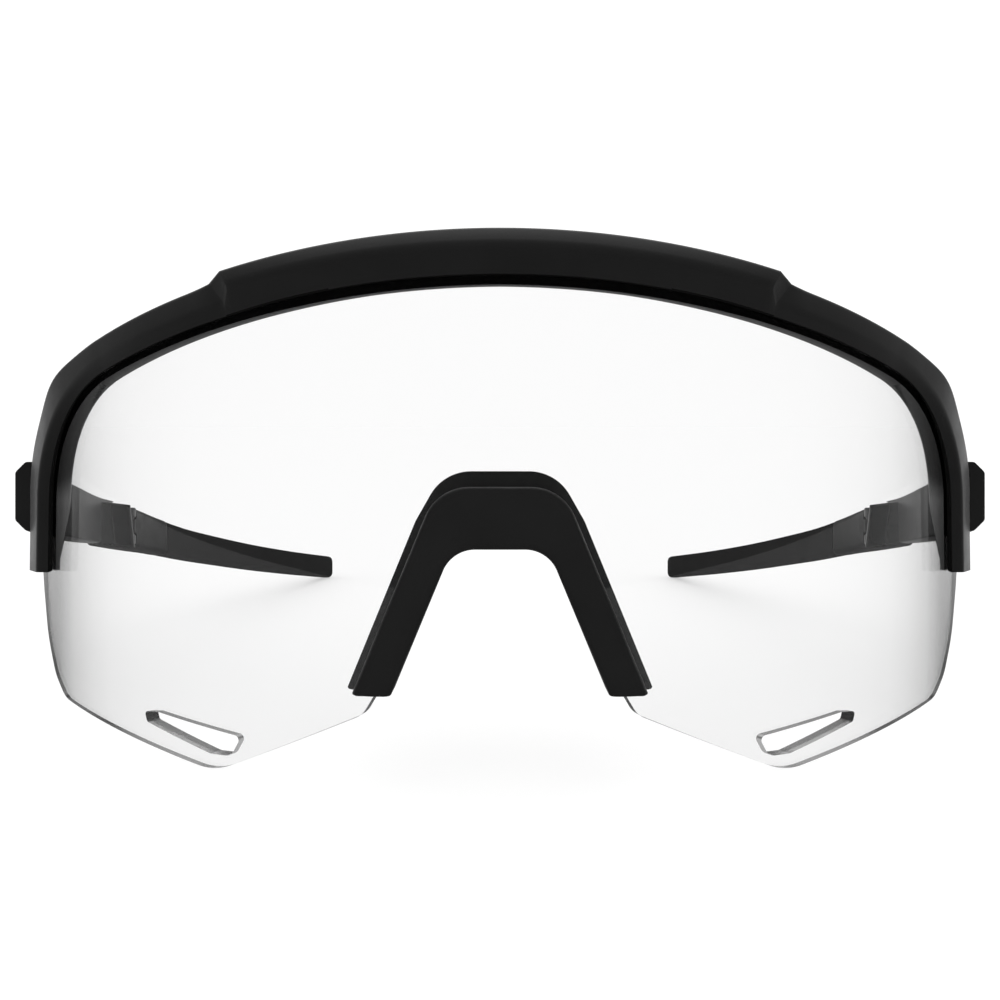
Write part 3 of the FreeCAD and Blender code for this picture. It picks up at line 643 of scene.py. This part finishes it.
# ---------------- nosepiece
CLIP_FRONT = 3.0            # thickness of the front plate, and of the rear one
CLIP_REAR = 1.8
RIM_WIDTH = 0.95            # the rim round the front plate, its crest and the dip behind it
RIM_CREST = 0.4
RIM_START = 2.45
RIM_DIP = 2.87
INNER_EDGE = (0.5, 2.82, 2.35)      # width of the front plate's inner bevel, and its two depths
REAR_BEVEL = 0.5
REAR_INNER_BEVEL = 0.6
FAN_X = 2.6                 # the sections fan round this point in the bend of the arch
FAN_Z = -9.5
CLIP_LEG_RINGS = 40
FAN_RINGS = 48
CLIP_TOP_RINGS = 8
CLIP_FOOT_Z = -22.4
CLIP_DEEP = -32.0
FRONT_OUTER = ((7.2, 1.5, 5.5), (21.2, CLIP_DEEP, 0.1))
FRONT_INNER = ((5.5, -5.7, 4.0), (16.6, CLIP_DEEP, 0.1))
REAR_OUTER = ((6.6, 3.4, 5.5), (9.95, -2.5, 0.8), (22.05, CLIP_DEEP, 0.1))
REAR_INNER = ((5.7, -5.8, 4.0), (16.6, CLIP_DEEP, 0.1))
SLOT_END = ((6.25, -2.25, 3.4), (18.1, CLIP_DEEP, 0.1))


def reach_of(outline, origin, direction):
    """Distance from a point inside a closed outline to its edge."""
    a = outline - origin
    b = np.roll(outline, -1, axis=0) - origin
    edge = b - a
    cross = direction[0] * edge[:, 1] - direction[1] * edge[:, 0]
    cross = np.where(np.abs(cross) < 1e-12, 1e-12, cross)
    t = (a[:, 0] * edge[:, 1] - a[:, 1] * edge[:, 0]) / cross
    s = (a[:, 0] * direction[1] - a[:, 1] * direction[0]) / cross
    hits = t[(s >= -1e-9) & (s <= 1 + 1e-9) & (t > 0)]
    return hits.max()


def clip_stations():
    """Origin and direction of each section, from the foot of the left leg to the middle."""
    leg_heights = np.linspace(CLIP_FOOT_Z, FAN_Z, CLIP_LEG_RINGS)
    legs = [(np.array([FAN_X, z]), np.array([1.0, 0.0])) for z in leg_heights]
    fan = []
    for i in range(1, FAN_RINGS + 1):
        a = math.pi / 2 * i / FAN_RINGS
        fan.append((np.array([FAN_X, FAN_Z]), np.array([math.cos(a), math.sin(a)])))
    top_places = np.linspace(FAN_X, 0, CLIP_TOP_RINGS + 1)[1:]
    top = [(np.array([x, FAN_Z]), np.array([0.0, 1.0])) for x in top_places]
    return legs + fan + top


def clip_ring(origin, direction, outlines, shrink=0.0, drop=0.0):
    """Section of the clip: front plate with its rim, inner edge, rear plate, and the slot for the lens."""
    front_o, front_i, rear_o, rear_i, slot = [reach_of(o, origin, direction) for o in outlines]
    middle = (front_o + front_i) / 2
    back = -LENS_THICK - GROOVE_GAP
    rear = back - CLIP_REAR
    corners = [
        (front_o, GROOVE_GAP, 0.1), (front_o, RIM_START, 0.3), (front_o - RIM_CREST, CLIP_FRONT, 0.25),
        (front_o - RIM_WIDTH, RIM_DIP, 0.35), (middle, CLIP_FRONT, 1.2),
        (front_i + INNER_EDGE[0], INNER_EDGE[1], 0.4), (front_i, INNER_EDGE[2], 0.35),
        (rear_i, rear + REAR_INNER_BEVEL, 0.4), (rear_i + REAR_BEVEL, rear, 0.3),
        (rear_o - REAR_BEVEL, rear, 0.3), (rear_o, rear + REAR_BEVEL, 0.3),
        (rear_o, back, 0.1), (slot, back, 0.05), (slot, GROOVE_GAP, 0.05)]
    profile = rounded(corners)
    t, d = profile[:, 0].copy(), profile[:, 1].copy()
    if shrink:
        t += np.clip(middle - t, -shrink, shrink)
        d = np.where(d > 1.0, d - shrink, np.where(d < back - 0.5, d + shrink, d))
    x = origin[0] + direction[0] * t
    z = origin[1] + direction[1] * t - drop
    return np.stack([x, cylinder_y(x, LENS_RADIUS + d), z], 1)


def nosepiece():
    """The clip, with its feet closed by three shrinking sections."""
    outlines = [rounded_outline(mirrored_corners(o), 24)
                for o in (FRONT_OUTER, FRONT_INNER, REAR_OUTER, REAR_INNER, SLOT_END)]
    stations = clip_stations()
    rings = [clip_ring(*stations[0], outlines, shrink, drop)
             for shrink, drop in ((0.45, 0.3), (0.2, 0.25), (0.06, 0.14))]
    rings += [clip_ring(o, d, outlines) for o, d in stations]
    rings = np.array(rings)
    other_half = rings[-2::-1] * np.array([-1, 1, 1])
    return sweep("nosepiece", np.concatenate([rings, other_half]))


nosepiece_piece = nosepiece()
smooth(nosepiece_piece, 40)

# ---------------- nose pads
PAD_OUTLINE = ((11.6, -7.5, 1.5), (17.6, -22.0, 1.8), (12.9, -22.4, 1.2), (7.3, -8.6, 1.5))
PAD_REAR_Y = 10.1
PAD_SPREAD = 0.07
PAD_GAP = 0.02
PAD_POINTS = 96
PAD_HALF_LENGTH = 7.5
PAD_GROOVE_DEPTH = 0.12
PAD_GROOVE_TURNS = 3.5
PAD_CROWN = (               # share of the depth, inset of the outline
    (0.0, 0.0), (0.2, 0.02), (0.45, 0.05), (0.65, 0.12), (0.78, 0.25), (0.87, 0.42), (0.94, 0.7),
    (0.985, 1.1), (1.0, 1.6))


def nose_pad():
    """Soft pad: hugs the rear plate and spreads to the rear, with a crowned face and three grooves."""
    base = rounded_outline(PAD_OUTLINE, 12)
    # evenly spaced round the outline
    closed = np.concatenate([base, base[:1]])
    lengths = np.concatenate([[0], np.cumsum(np.linalg.norm(np.diff(closed, axis=0), axis=1))])
    at = np.linspace(0, lengths[-1], PAD_POINTS + 1)[:-1]
    base = np.column_stack([np.interp(at, lengths, closed[:, k]) for k in (0, 1)])
    middle = base.mean(0)
    inward = middle - base
    inward /= np.linalg.norm(inward, axis=1)[:, None]
    along = (base[:, 1] - middle[1]) / PAD_HALF_LENGTH
    grooves = np.clip(np.cos(along * math.pi * PAD_GROOVE_TURNS) * 4 - 3, 0, 1)
    start = cylinder_y(base[:, 0], LENS_RADIUS - LENS_THICK - GROOVE_GAP - CLIP_REAR - PAD_GAP)
    rings = []
    for share, inset in PAD_CROWN:
        outline = (base + inward * inset) * (1 + PAD_SPREAD * share)
        groove = PAD_GROOVE_DEPTH * math.sin(math.pi * share) * grooves
        outline += inward * groove[:, None]
        rings.append(np.stack([outline[:, 0], start + (PAD_REAR_Y - start) * share, outline[:, 1]], 1))
    last = rings[-1]
    centre = last.mean(0)
    for k in (0.75, 0.5, 0.25, 0.08):
        crown = centre + (last - centre) * k
        crown[:, 1] = PAD_REAR_Y - 0.02 * k
        rings.append(crown)
    return sweep("left_nose_pad_soft", rings)


left_pad = nose_pad()
smooth(left_pad, 50)
right_pad = mirror_object(left_pad, "right_nose_pad_soft")

# ---------------- temples
TEMPLE_LINE = (             # y, inner x, middle z
    (56.4, 63.2, -4.55), (62.0, 63.9, -5.3), (72.0, 64.2, -6.7), (87.0, 63.0, -9.05), (98.5, 60.5, -10.8),
    (114.5, 56.3, -13.2), (130.0, 52.1, -15.25), (155.4, 45.3, -18.2))
TEMPLE_SECTION = (          # y, thickness, height
    (56.4, 8.6, 6.7), (62.0, 6.3, 7.0), (72.0, 4.5, 6.7), (98.5, 4.2, 6.0), (130.0, 4.0, 5.7),
    (155.4, 3.8, 5.74))
PAST_ARM = 50.0             # height that is well above and below the arm
SLEEVE_START_Y = 76.0
TEMPLE_END_Y = 155.4
TONGUE_INSET = 1.1
TONGUE_END_Y = 150.0
TONGUE_GAP = 0.02
TIP_RADIUS = 1.5
SLEEVE_SOFT = 1.45


def temple_ring(y, inset=0.0, softness=1.2):
    """Section of the arm or the sleeve at y, inset from its full size."""
    inner_x, mid_z = spline(TEMPLE_LINE, y)[0]
    thick, high = spline(TEMPLE_SECTION, y)[0]
    x0, x1 = inner_x + inset, inner_x + thick - inset
    z0, z1 = mid_z - high / 2 + inset, mid_z + high / 2 - inset
    soft = min(softness, min(x1 - x0, z1 - z0) * 0.45)
    outline = rounded([(x0, z0, soft), (x1, z0, soft), (x1, z1, soft), (x0, z1, soft)], 6)
    return np.stack([outline[:, 0], np.full(len(outline), y), outline[:, 1]], 1)


def tongue(inset, end):
    """The arm's tongue inside the sleeve, or the pocket for it."""
    return sweep("tongue", [temple_ring(y, inset, 0.4) for y in np.linspace(SLEEVE_START_Y - 1, end, 30)])


def temple_arm():
    """Arm with its softened ends, its knuckle and web at the hinge, and its tongue."""
    start = TEMPLE_LINE[0][0]
    rings = [temple_ring(start, 0.2), temple_ring(start + 0.08, 0.06), temple_ring(start + 0.25)]
    rings += [temple_ring(y) for y in np.linspace(start + 0.8, SLEEVE_START_Y - 0.45, 26)]
    rings += [temple_ring(SLEEVE_START_Y - 0.3, 0.05), temple_ring(SLEEVE_START_Y - 0.2, 0.2),
              temple_ring(SLEEVE_START_Y, 0.25)]
    arm = sweep("left_temple_arm_shell", rings)
    clear = KNUCKLE_RADIUS + BODY_GAP
    cuts = [rod(low, high, clear, count=64) for low, high in ((-PAST_ARM, MID_LOW), (MID_HIGH, PAST_ARM))]
    arm = boolean(arm, cuts, "DIFFERENCE")
    knuckle = rod(MID_LOW, MID_HIGH, KNUCKLE_RADIUS, 0.15, 64)
    web_low = (HINGE[0] - TEMPLE_WEB_HALF_WIDTH, HINGE[1] + WEB_START, MID_LOW + TEMPLE_WEB_INSET)
    web_high = (HINGE[0] + TEMPLE_WEB_HALF_WIDTH, HINGE[1] + TEMPLE_WEB_LENGTH, MID_HIGH - TEMPLE_WEB_INSET)
    web = box_piece(web_low, web_high, WEB_ROUNDING)
    arm = boolean(arm, [knuckle, web, tongue(TONGUE_INSET, TONGUE_END_Y)], "UNION")
    bore = rod(MID_LOW - BORE_PAST, MID_HIGH + BORE_PAST, BUSH_RADIUS)
    return boolean(arm, [bore], "DIFFERENCE")


def temple_sleeve():
    """Sleeve with a softened mouth, a rounded tip and the pocket for the tongue."""
    tip_start = TEMPLE_END_Y - TIP_RADIUS
    rings = [temple_ring(SLEEVE_START_Y, 0.12, 1.3), temple_ring(SLEEVE_START_Y + 0.12, 0.02, 1.4)]
    rings += [temple_ring(y, 0.0, SLEEVE_SOFT) for y in np.linspace(SLEEVE_START_Y + 0.3, tip_start, 60)]
    for i in range(1, 9):
        a = math.pi / 2 * i / 8
        inset = TIP_RADIUS * (1 - math.cos(a))
        rings.append(temple_ring(tip_start + TIP_RADIUS * math.sin(a), inset, SLEEVE_SOFT))
    sleeve = sweep("left_temple_sleeve_soft", rings)
    return boolean(sleeve, [tongue(TONGUE_INSET - TONGUE_GAP, TONGUE_END_Y + TONGUE_GAP)], "DIFFERENCE")


left_arm = temple_arm()
smooth(left_arm, 35)
right_arm = mirror_object(left_arm, "right_temple_arm_shell")
left_sleeve = temple_sleeve()
smooth(left_sleeve, 40)
right_sleeve = mirror_object(left_sleeve, "right_temple_sleeve_soft")

# ---------------- camera
CAMERA_Y = -117.0
SENSOR_WIDTH = 36.0
FOCAL_LENGTH = 36.108
NEAREST = 0.005             # metres
cam_data = bpy.data.cameras.new("camera")
cam = link(cam_data, "camera")
cam.location = Vector(to_row([(0, CAMERA_Y, 0)])[0])
cam.rotation_euler = (LEAN @ Vector((0, 1, 0))).to_track_quat("-Z", "Y").to_euler()
cam_data.sensor_width = SENSOR_WIDTH
cam_data.lens = FOCAL_LENGTH
cam_data.clip_start = NEAREST
bpy.context.scene.camera = cam
bpy.context.scene.view_settings.view_transform = "Standard"

# ---------------- studio light
def node(tree, kind, **values):
    """New shader node with the given settings."""
    made = tree.nodes.new("ShaderNode" + kind)
    for key, value in values.items():
        setattr(made, key, value)
    return made


def grey(value):
    """Opaque grey."""
    return (value, value, value, 1.0)


def set_stops(ramp, stops):
    """Grey steps of a colour ramp: (position, brightness) from first to last."""
    elements = ramp.color_ramp.elements
    elements[0].position, elements[0].color = stops[0][0], grey(stops[0][1])
    elements[1].position, elements[1].color = stops[-1][0], grey(stops[-1][1])
    for position, value in stops[1:-1]:
        elements.new(position).color = grey(value)


def add_to_half(tree, source, factor):
    """0.5 + factor * source."""
    made = node(tree, "Math", operation="MULTIPLY_ADD")
    made.inputs[1].default_value = factor
    made.inputs[2].default_value = 0.5
    tree.links.new(source, made.inputs[0])
    return made.outputs[0]


def mix_shaders(tree, share, first, second, target):
    """Mixes two shaders: only the first at share 0, only the second at 1."""
    mix = node(tree, "MixShader")
    for i, source in enumerate((share, first, second)):
        tree.links.new(source, mix.inputs[i])
    tree.links.new(mix.outputs[0], target)


def split_mirrored(tree, plain, mirrored, target):
    """Shows one shader, and another to light that has been mirrored on its way."""
    path = node(tree, "LightPath")
    after_mirror = node(tree, "Math", operation="GREATER_THAN")
    after_mirror.inputs[1].default_value = 0.5
    tree.links.new(path.outputs["Glossy Depth"], after_mirror.inputs[0])
    mix_shaders(tree, after_mirror.outputs[0], plain, mirrored, target)


BACKDROP_LIGHT = 1.12
FLAG_STOPS = (              # 0 at the backdrop, 0.5 at the sides, 1 behind the camera
    (0.0, 1.0), (0.1, 1.0), (0.15, 1.0), (0.2, 0.9), (0.26, 0.42), (0.33, 0.17), (0.42, 0.1), (0.8, 0.06),
    (1.0, 0.06))
HEIGHT_STOPS = (            # 0 straight down, 0.5 level, 1 straight up
    (0.0, 0.1), (0.38, 0.15), (0.475, 1.0), (0.54, 1.0), (0.575, 0.24), (0.7, 0.24), (0.8, 0.7), (1.0, 1.0))


def make_studio():
    """White all round for the backdrop and for soft light; reflections see dark flags at the sides."""
    world = bpy.data.worlds.new("studio")
    bpy.context.scene.world = world
    world.use_nodes = True
    tree = world.node_tree
    tree.nodes.clear()
    output = node(tree, "OutputWorld")
    coord = node(tree, "TexCoord")
    split = node(tree, "SeparateXYZ")
    tree.links.new(coord.outputs["Generated"], split.inputs[0])
    mirrored_light = node(tree, "Background")
    ramps = (("Y", -0.5, FLAG_STOPS, "Color"), ("Z", 0.5, HEIGHT_STOPS, "Strength"))
    for axis, factor, stops, target in ramps:
        ramp = node(tree, "ValToRGB")
        set_stops(ramp, stops)
        tree.links.new(add_to_half(tree, split.outputs[axis], factor), ramp.inputs[0])
        tree.links.new(ramp.outputs[0], mirrored_light.inputs[target])
    white = node(tree, "Background")
    white.inputs["Color"].default_value = grey(1.0)
    white.inputs["Strength"].default_value = BACKDROP_LIGHT
    split_mirrored(tree, white.outputs[0], mirrored_light.outputs[0], output.inputs[0])


make_studio()


# ---------------- materials
def principled(name):
    """New material, its node tree and its shader."""
    mat = bpy.data.materials.new(name)
    mat.use_nodes = True
    return mat, mat.node_tree, mat.node_tree.nodes["Principled BSDF"]


def noise(tree, scale, detail, rough=0.5, stretch=None):
    """Noise in the row frame's metres, with its scale in cells per metre."""
    coord = node(tree, "TexCoord")
    source = coord.outputs["Object"]
    if stretch:
        mapping = node(tree, "Mapping")
        mapping.inputs["Scale"].default_value = stretch
        tree.links.new(source, mapping.inputs[0])
        source = mapping.outputs[0]
    made = node(tree, "TexNoise")
    made.inputs["Scale"].default_value = scale
    made.inputs["Detail"].default_value = detail
    made.inputs["Roughness"].default_value = rough
    tree.links.new(source, made.inputs["Vector"])
    return made.outputs[0]


def remap(tree, source, low, high, start=0.3, end=0.7):
    """Stretches start..end of the source to low..high."""
    made = node(tree, "MapRange")
    for i, value in enumerate((start, end, low, high), 1):
        made.inputs[i].default_value = value
    tree.links.new(source, made.inputs[0])
    return made.outputs[0]


def moulded(name, dark, light, rough, spread, grain, depth, spec=0.5, sheen=0.0, ior=1.5):
    """Moulded plastic or rubber: fine pitted grain, uneven gloss, edges rubbed a little lighter.

    The grain's size and depth are in millimetres, and the roughness varies by the spread.
    """
    mat, tree, shader = principled(name)
    tone = node(tree, "Mix", data_type="RGBA")
    tone.inputs[6].default_value = grey(dark)
    tone.inputs[7].default_value = grey(light)
    edges = node(tree, "NewGeometry")
    worn = remap(tree, edges.outputs["Pointiness"], 0.0, 0.45, 0.55, 0.7)
    patches = remap(tree, noise(tree, 130.0, 3.0), 0.0, 0.45)
    total = node(tree, "Math", operation="ADD", use_clamp=True)
    tree.links.new(worn, total.inputs[0])
    tree.links.new(patches, total.inputs[1])
    tree.links.new(total.outputs[0], tone.inputs[0])
    tree.links.new(tone.outputs[2], shader.inputs["Base Color"])
    gloss = remap(tree, noise(tree, 300.0, 4.0, 0.6), rough - spread, rough + spread)
    tree.links.new(gloss, shader.inputs["Roughness"])
    bump = node(tree, "Bump")
    bump.inputs["Strength"].default_value = 0.35
    bump.inputs["Distance"].default_value = depth * MM
    tree.links.new(noise(tree, 1000.0 / grain, 3.0, 0.6), bump.inputs["Height"])
    tree.links.new(bump.outputs[0], shader.inputs["Normal"])
    shader.inputs["Specular IOR Level"].default_value = spec
    shader.inputs["IOR"].default_value = ior
    shader.inputs["Sheen Weight"].default_value = sheen
    shader.inputs["Sheen Roughness"].default_value = 0.35
    return mat


def metal(name, colour, rough):
    """Turned metal: fine brushed grain round the hinge and slight stains."""
    mat, tree, shader = principled(name)
    tone = node(tree, "Mix", data_type="RGBA")
    tone.inputs[6].default_value = (*colour, 1)
    tone.inputs[7].default_value = (*[c * 0.6 for c in colour], 1)
    tree.links.new(remap(tree, noise(tree, 900.0, 4.0), 0.0, 1.0), tone.inputs[0])
    tree.links.new(tone.outputs[2], shader.inputs["Base Color"])
    gloss = remap(tree, noise(tree, 2500.0, 2.0, 0.5, (1, 1, 12)), rough - 0.08, rough + 0.1)
    tree.links.new(gloss, shader.inputs["Roughness"])
    shader.inputs["Metallic"].default_value = 1.0
    return mat


# Painted shade in the colour of the lens: a little dimmer all over, and much darker where it turns edge on to
# the eye.
LENS_PAINTED_EDGE_SHADE = (               # 0 where the lens faces the eye, 1 where it is edge on
    (0.0, 0.96), (0.3, 0.96), (0.424, 0.94), (0.496, 0.9), (0.554, 0.8), (0.634, 0.6), (0.653, 0.5),
    (0.676, 0.41), (0.701, 0.3), (0.729, 0.24), (0.83, 0.22), (0.92, 0.5), (1.0, 0.65))
# The cut edge's own grey tint, with painted shade that darkens it where it turns edge on.
RIM_TINT_AND_PAINTED_SHADE = ((0.0, 0.86), (1.0, 0.7))
LENS_IOR = 1.586
LENS_SHADOW = 0.93          # share of the light that the lens lets through to what is behind it


def clear_lens(name, tint_and_painted_shade, smoothest, roughest):
    """Clear polycarbonate that lets light pass to what is behind it, with faint wipe marks in its gloss, and
    painted shade in its colour that makes it darker where it turns edge on.
    """
    mat, tree, shader = principled(name)
    shader.inputs["Transmission Weight"].default_value = 1.0
    shader.inputs["IOR"].default_value = LENS_IOR
    marks = remap(tree, noise(tree, 60.0, 4.0, 0.6, (1, 1, 3)), smoothest, roughest, 0.45, 0.75)
    tree.links.new(marks, shader.inputs["Roughness"])
    # painted shade: the colour follows how far the face turns edge on
    weight = node(tree, "LayerWeight")
    ramp = node(tree, "ValToRGB")
    set_stops(ramp, tint_and_painted_shade)
    weight.inputs["Blend"].default_value = 0.5
    tree.links.new(weight.outputs["Facing"], ramp.inputs[0])
    tree.links.new(ramp.outputs[0], shader.inputs["Base Color"])
    through = node(tree, "BsdfTransparent")
    through.inputs[0].default_value = grey(LENS_SHADOW)
    path = node(tree, "LightPath")
    either = node(tree, "Math", operation="MAXIMUM")
    tree.links.new(path.outputs["Is Shadow Ray"], either.inputs[0])
    tree.links.new(path.outputs["Is Diffuse Ray"], either.inputs[1])
    output = tree.nodes["Material Output"].inputs[0]
    mix_shaders(tree, either.outputs[0], shader.outputs[0], through.outputs[0], output)
    return mat


# name, darkest and lightest grey, roughness and its spread, size and depth of the grain
FRAME_BLACK = moulded("frame_black_plastic", 0.0075, 0.0105, 0.38, 0.05, 0.16, 0.02, spec=0.48, sheen=0.18)
# painted shade: a darker, dull copy of the frame black for the groove, the underside of the lip and the front
# of the hinge shield
GROOVE_PAINTED_SHADE = moulded("groove_painted_shade_plastic", 0.0035, 0.0055, 0.6, 0.05, 0.16, 0.02, spec=0.06, ior=1.0)
# painted light: a lighter, glossier copy of the frame black on the lower wall of the rear lip, where more
# light falls on it; the gloss is a real finish, the lighter tone is painted
WALL_PAINTED_LIGHT = moulded("polished_wall_painted_light", 0.009, 0.0125, 0.16, 0.04, 0.16, 0.003, spec=1.0, sheen=0.1)
wall_shader = WALL_PAINTED_LIGHT.node_tree.nodes["Principled BSDF"]
wall_shader.inputs["Coat Weight"].default_value = 1.0
wall_shader.inputs["Coat Roughness"].default_value = 0.1
TEMPLE_BLACK = moulded("temple_black_plastic", 0.005, 0.0075, 0.45, 0.05, 0.16, 0.02, spec=0.08)
CLIP_BLACK = moulded("nosepiece_black_plastic", 0.0095, 0.013, 0.38, 0.05, 0.22, 0.015, spec=0.4, sheen=0.03)
RUBBER = moulded("soft_black_rubber", 0.013, 0.018, 0.78, 0.06, 0.3, 0.03, ior=1.0)
# painted shade: the nose pads get a darker copy of the soft rubber, for the shade they sit in behind the clip
PAD_RUBBER_PAINTED_SHADE = moulded("nose_pad_painted_shade_rubber", 0.005, 0.008, 0.78, 0.06, 0.3, 0.03, ior=1.0)
STEEL = metal("hinge_steel", (0.52, 0.52, 0.53), 0.28)
CORE = metal("temple_core_steel", (0.45, 0.45, 0.46), 0.4)
BRASS = metal("hinge_brass", (0.62, 0.43, 0.17), 0.3)
NYLON = moulded("washer_nylon", 0.012, 0.02, 0.5, 0.05, 0.2, 0.01)
LENS = clear_lens("lens_polycarbonate", LENS_PAINTED_EDGE_SHADE, 0.0, 0.012)
LENS_RIM = clear_lens("lens_cut_edge", RIM_TINT_AND_PAINTED_SHADE, 0.22, 0.38)


def paint(obj, mat):
    """Gives all faces of a piece one material."""
    obj.data.materials.clear()
    obj.data.materials.append(mat)
    for poly in obj.data.polygons:
        poly.material_index = 0


def place(obj, body, mat, slot, *nodes):
    """Paints a piece, hangs it under the empty of its body and hides the CAD nodes that it stands for; the
    slot is not used.
    """
    paint(obj, mat)
    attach(obj, body)
    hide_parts(*nodes)


def lip_distance(x, z):
    """Distance outward from the line of the front lip, and the outward direction there, on the left side."""
    brow = np.stack([x, z - BROW_CENTRE_Z], 1)
    corner = np.stack([x - CORNER_CENTRE_X, z - CORNER_CENTRE_Z], 1)
    foot_share = (CORNER_CENTRE_Z - z) / (CORNER_CENTRE_Z - LEG_FOOT_Z)
    leg = x - LEG_X - (LEG_FOOT_X - LEG_X) * foot_share
    on_brow = np.arctan2(brow[:, 1], brow[:, 0]) > CORNER_ANGLE
    on_leg = z < CORNER_CENTRE_Z
    brow_r, corner_r = np.hypot(*brow.T), np.hypot(*corner.T)
    away = np.where(on_leg, leg, np.where(on_brow, brow_r - BROW_RADIUS, corner_r - CORNER_RADIUS))
    outward = np.where(on_brow[:, None], brow / brow_r[:, None], corner / corner_r[:, None])
    outward[on_leg] = (1.0, 0.0)
    return away, outward


# where the faces of the frame get painted shade or painted light, in mm
CHANNEL_OUT = (-0.4, 4.5)           # outward from the line of the lip
CHANNEL_BACK = 2.15                 # behind the front of the lens, as are the two below
CHANNEL_FRONT = -0.2
LIP_UNDERSIDE = (-4.5, -0.5)
LIP_UNDERSIDE_OUT = 0.5
WALL_OUT = 0.15
# the painted light on the rear lip's wall stops at this height
WALL_TOP_Z = 16.0
SHIELD_FACE_X = (61.0, 65.8)
SHIELD_FACE_Y = (51.0, 52.9)


def between(values, limits):
    """Which values are inside the limits."""
    return (values > limits[0]) & (values < limits[1])


def finish_frame_faces():
    """Painted shade: a darker, dull black on the groove, the underside of the lip and the hinge shield's
    front. Painted light: a lighter, polished copy of the frame black on the lower wall of the rear lip.
    """
    mesh = frame_front.data
    mesh.materials.append(GROOVE_PAINTED_SHADE)
    mesh.materials.append(WALL_PAINTED_LIGHT)
    centres = (np.array([p.center for p in mesh.polygons]) - SHIFT_NP) @ LEAN_NP / MM
    normals = np.array([p.normal for p in mesh.polygons]) @ LEAN_NP
    mirrored = np.where(centres[:, 0] < 0, -1.0, 1.0)
    x, y, z = centres[:, 0] * mirrored, centres[:, 1], centres[:, 2]
    away, outward = lip_distance(x, z)
    facing = normals[:, 0] * mirrored * outward[:, 0] + normals[:, 2] * outward[:, 1]
    behind = LENS_RADIUS - np.hypot(x, y - LENS_RADIUS)
    near = between(away, CHANNEL_OUT) & (z > LEG_FOOT_Z + 0.01)
    # faces that get the painted shade
    groove = near & between(behind, (-CHANNEL_BACK, CHANNEL_BACK)) & (normals[:, 1] > -0.5) & (facing < 0.2)
    groove |= near & between(behind, (CHANNEL_FRONT, CHANNEL_BACK))
    groove |= near & between(behind, LIP_UNDERSIDE) & (away < LIP_UNDERSIDE_OUT) & (facing < -0.2)
    # the front of the hinge shield gets the painted shade as well
    groove |= between(x, SHIELD_FACE_X) & between(y, SHIELD_FACE_Y) & (normals[:, 1] < -0.85)
    # faces of the rear lip's wall that get the painted light
    wall = near & (away < WALL_OUT) & (behind > CHANNEL_BACK) & (facing < -0.6) & (z < WALL_TOP_Z)
    index = np.where(wall, 2, np.where(groove, 1, 0))
    mesh.polygons.foreach_set("material_index", index.astype(np.int32))


def finish_lens_faces():
    """The cut edges of the lens are less smooth than its faces."""
    mesh = lens.data
    mesh.materials.append(LENS_RIM)
    away = from_lens_axis(np.array([p.center for p in mesh.polygons]))
    facing = np.abs((away * np.array([p.normal for p in mesh.polygons])).sum(1))
    mesh.polygons.foreach_set("material_index", (facing < LENS_FACE_MATCH).astype(np.int32))


place(frame_front, "frame", FRAME_BLACK, "frame_plastic", "frame_front")
finish_frame_faces()
place(lens, "frame", LENS, "lens_clear", "lens_shield")
finish_lens_faces()
place(nosepiece_piece, "frame", CLIP_BLACK, "nosepiece_plastic", "nosepiece_clip")
place(left_pad, "frame", PAD_RUBBER_PAINTED_SHADE, "soft_rubber", "left_nose_pad")
place(right_pad, "frame", PAD_RUBBER_PAINTED_SHADE, "soft_rubber", "right_nose_pad")
place(left_arm, "left_temple", TEMPLE_BLACK, "temple_plastic", "left_temple_arm")
place(right_arm, "right_temple", TEMPLE_BLACK, "temple_plastic", "right_temple_arm")
place(left_sleeve, "left_temple", RUBBER, "soft_rubber", "left_temple_sleeve")
place(right_sleeve, "right_temple", RUBBER, "soft_rubber", "right_temple_sleeve")
HIDDEN_PARTS = (
    ("temple_core", CORE), ("hinge_screw", STEEL), ("hinge_insert", BRASS), ("hinge_bush", BRASS),
    ("hinge_washers", NYLON))
for side in ("left", "right"):
    for part, mat in HIDDEN_PARTS:
        materials = frame["nodes"][f"{side}_{part}"].data.materials
        for i in range(len(materials)):
            materials[i] = mat

# ---------------- floor
FLOOR_HALF = 3.0
FLOOR_SHADE = 0.5
FLOOR_GLOW = BACKDROP_LIGHT * (1 - FLOOR_SHADE)   # brings the floor to the brightness of the backdrop
FLOOR_MIRRORED = 0.45       # brightness of the floor where a piece mirrors it
floor_mesh = bpy.data.meshes.new("floor")
floor_corners = [(x * FLOOR_HALF, y * FLOOR_HALF, 0) for x, y in ((-1, -1), (1, -1), (1, 1), (-1, 1))]
floor_mesh.from_pydata(floor_corners, [], [(0, 1, 2, 3)])
floor = link(floor_mesh, "floor")
floor.visible_glossy = False
floor_mat, floor_tree, floor_shader = principled("floor_white")
floor_shader.inputs["Base Color"].default_value = grey(FLOOR_SHADE)
floor_shader.inputs["Roughness"].default_value = 0.9
floor_shader.inputs["Specular IOR Level"].default_value = 0.0
floor_shader.inputs["Emission Color"].default_value = grey(1.0)
floor_shader.inputs["Emission Strength"].default_value = FLOOR_GLOW
floor_dim = node(floor_tree, "Emission")
floor_dim.inputs["Strength"].default_value = FLOOR_MIRRORED
floor_output = floor_tree.nodes["Material Output"].inputs[0]
split_mirrored(floor_tree, floor_shader.outputs[0], floor_dim.outputs[0], floor_output)
floor_mesh.materials.append(floor_mat)
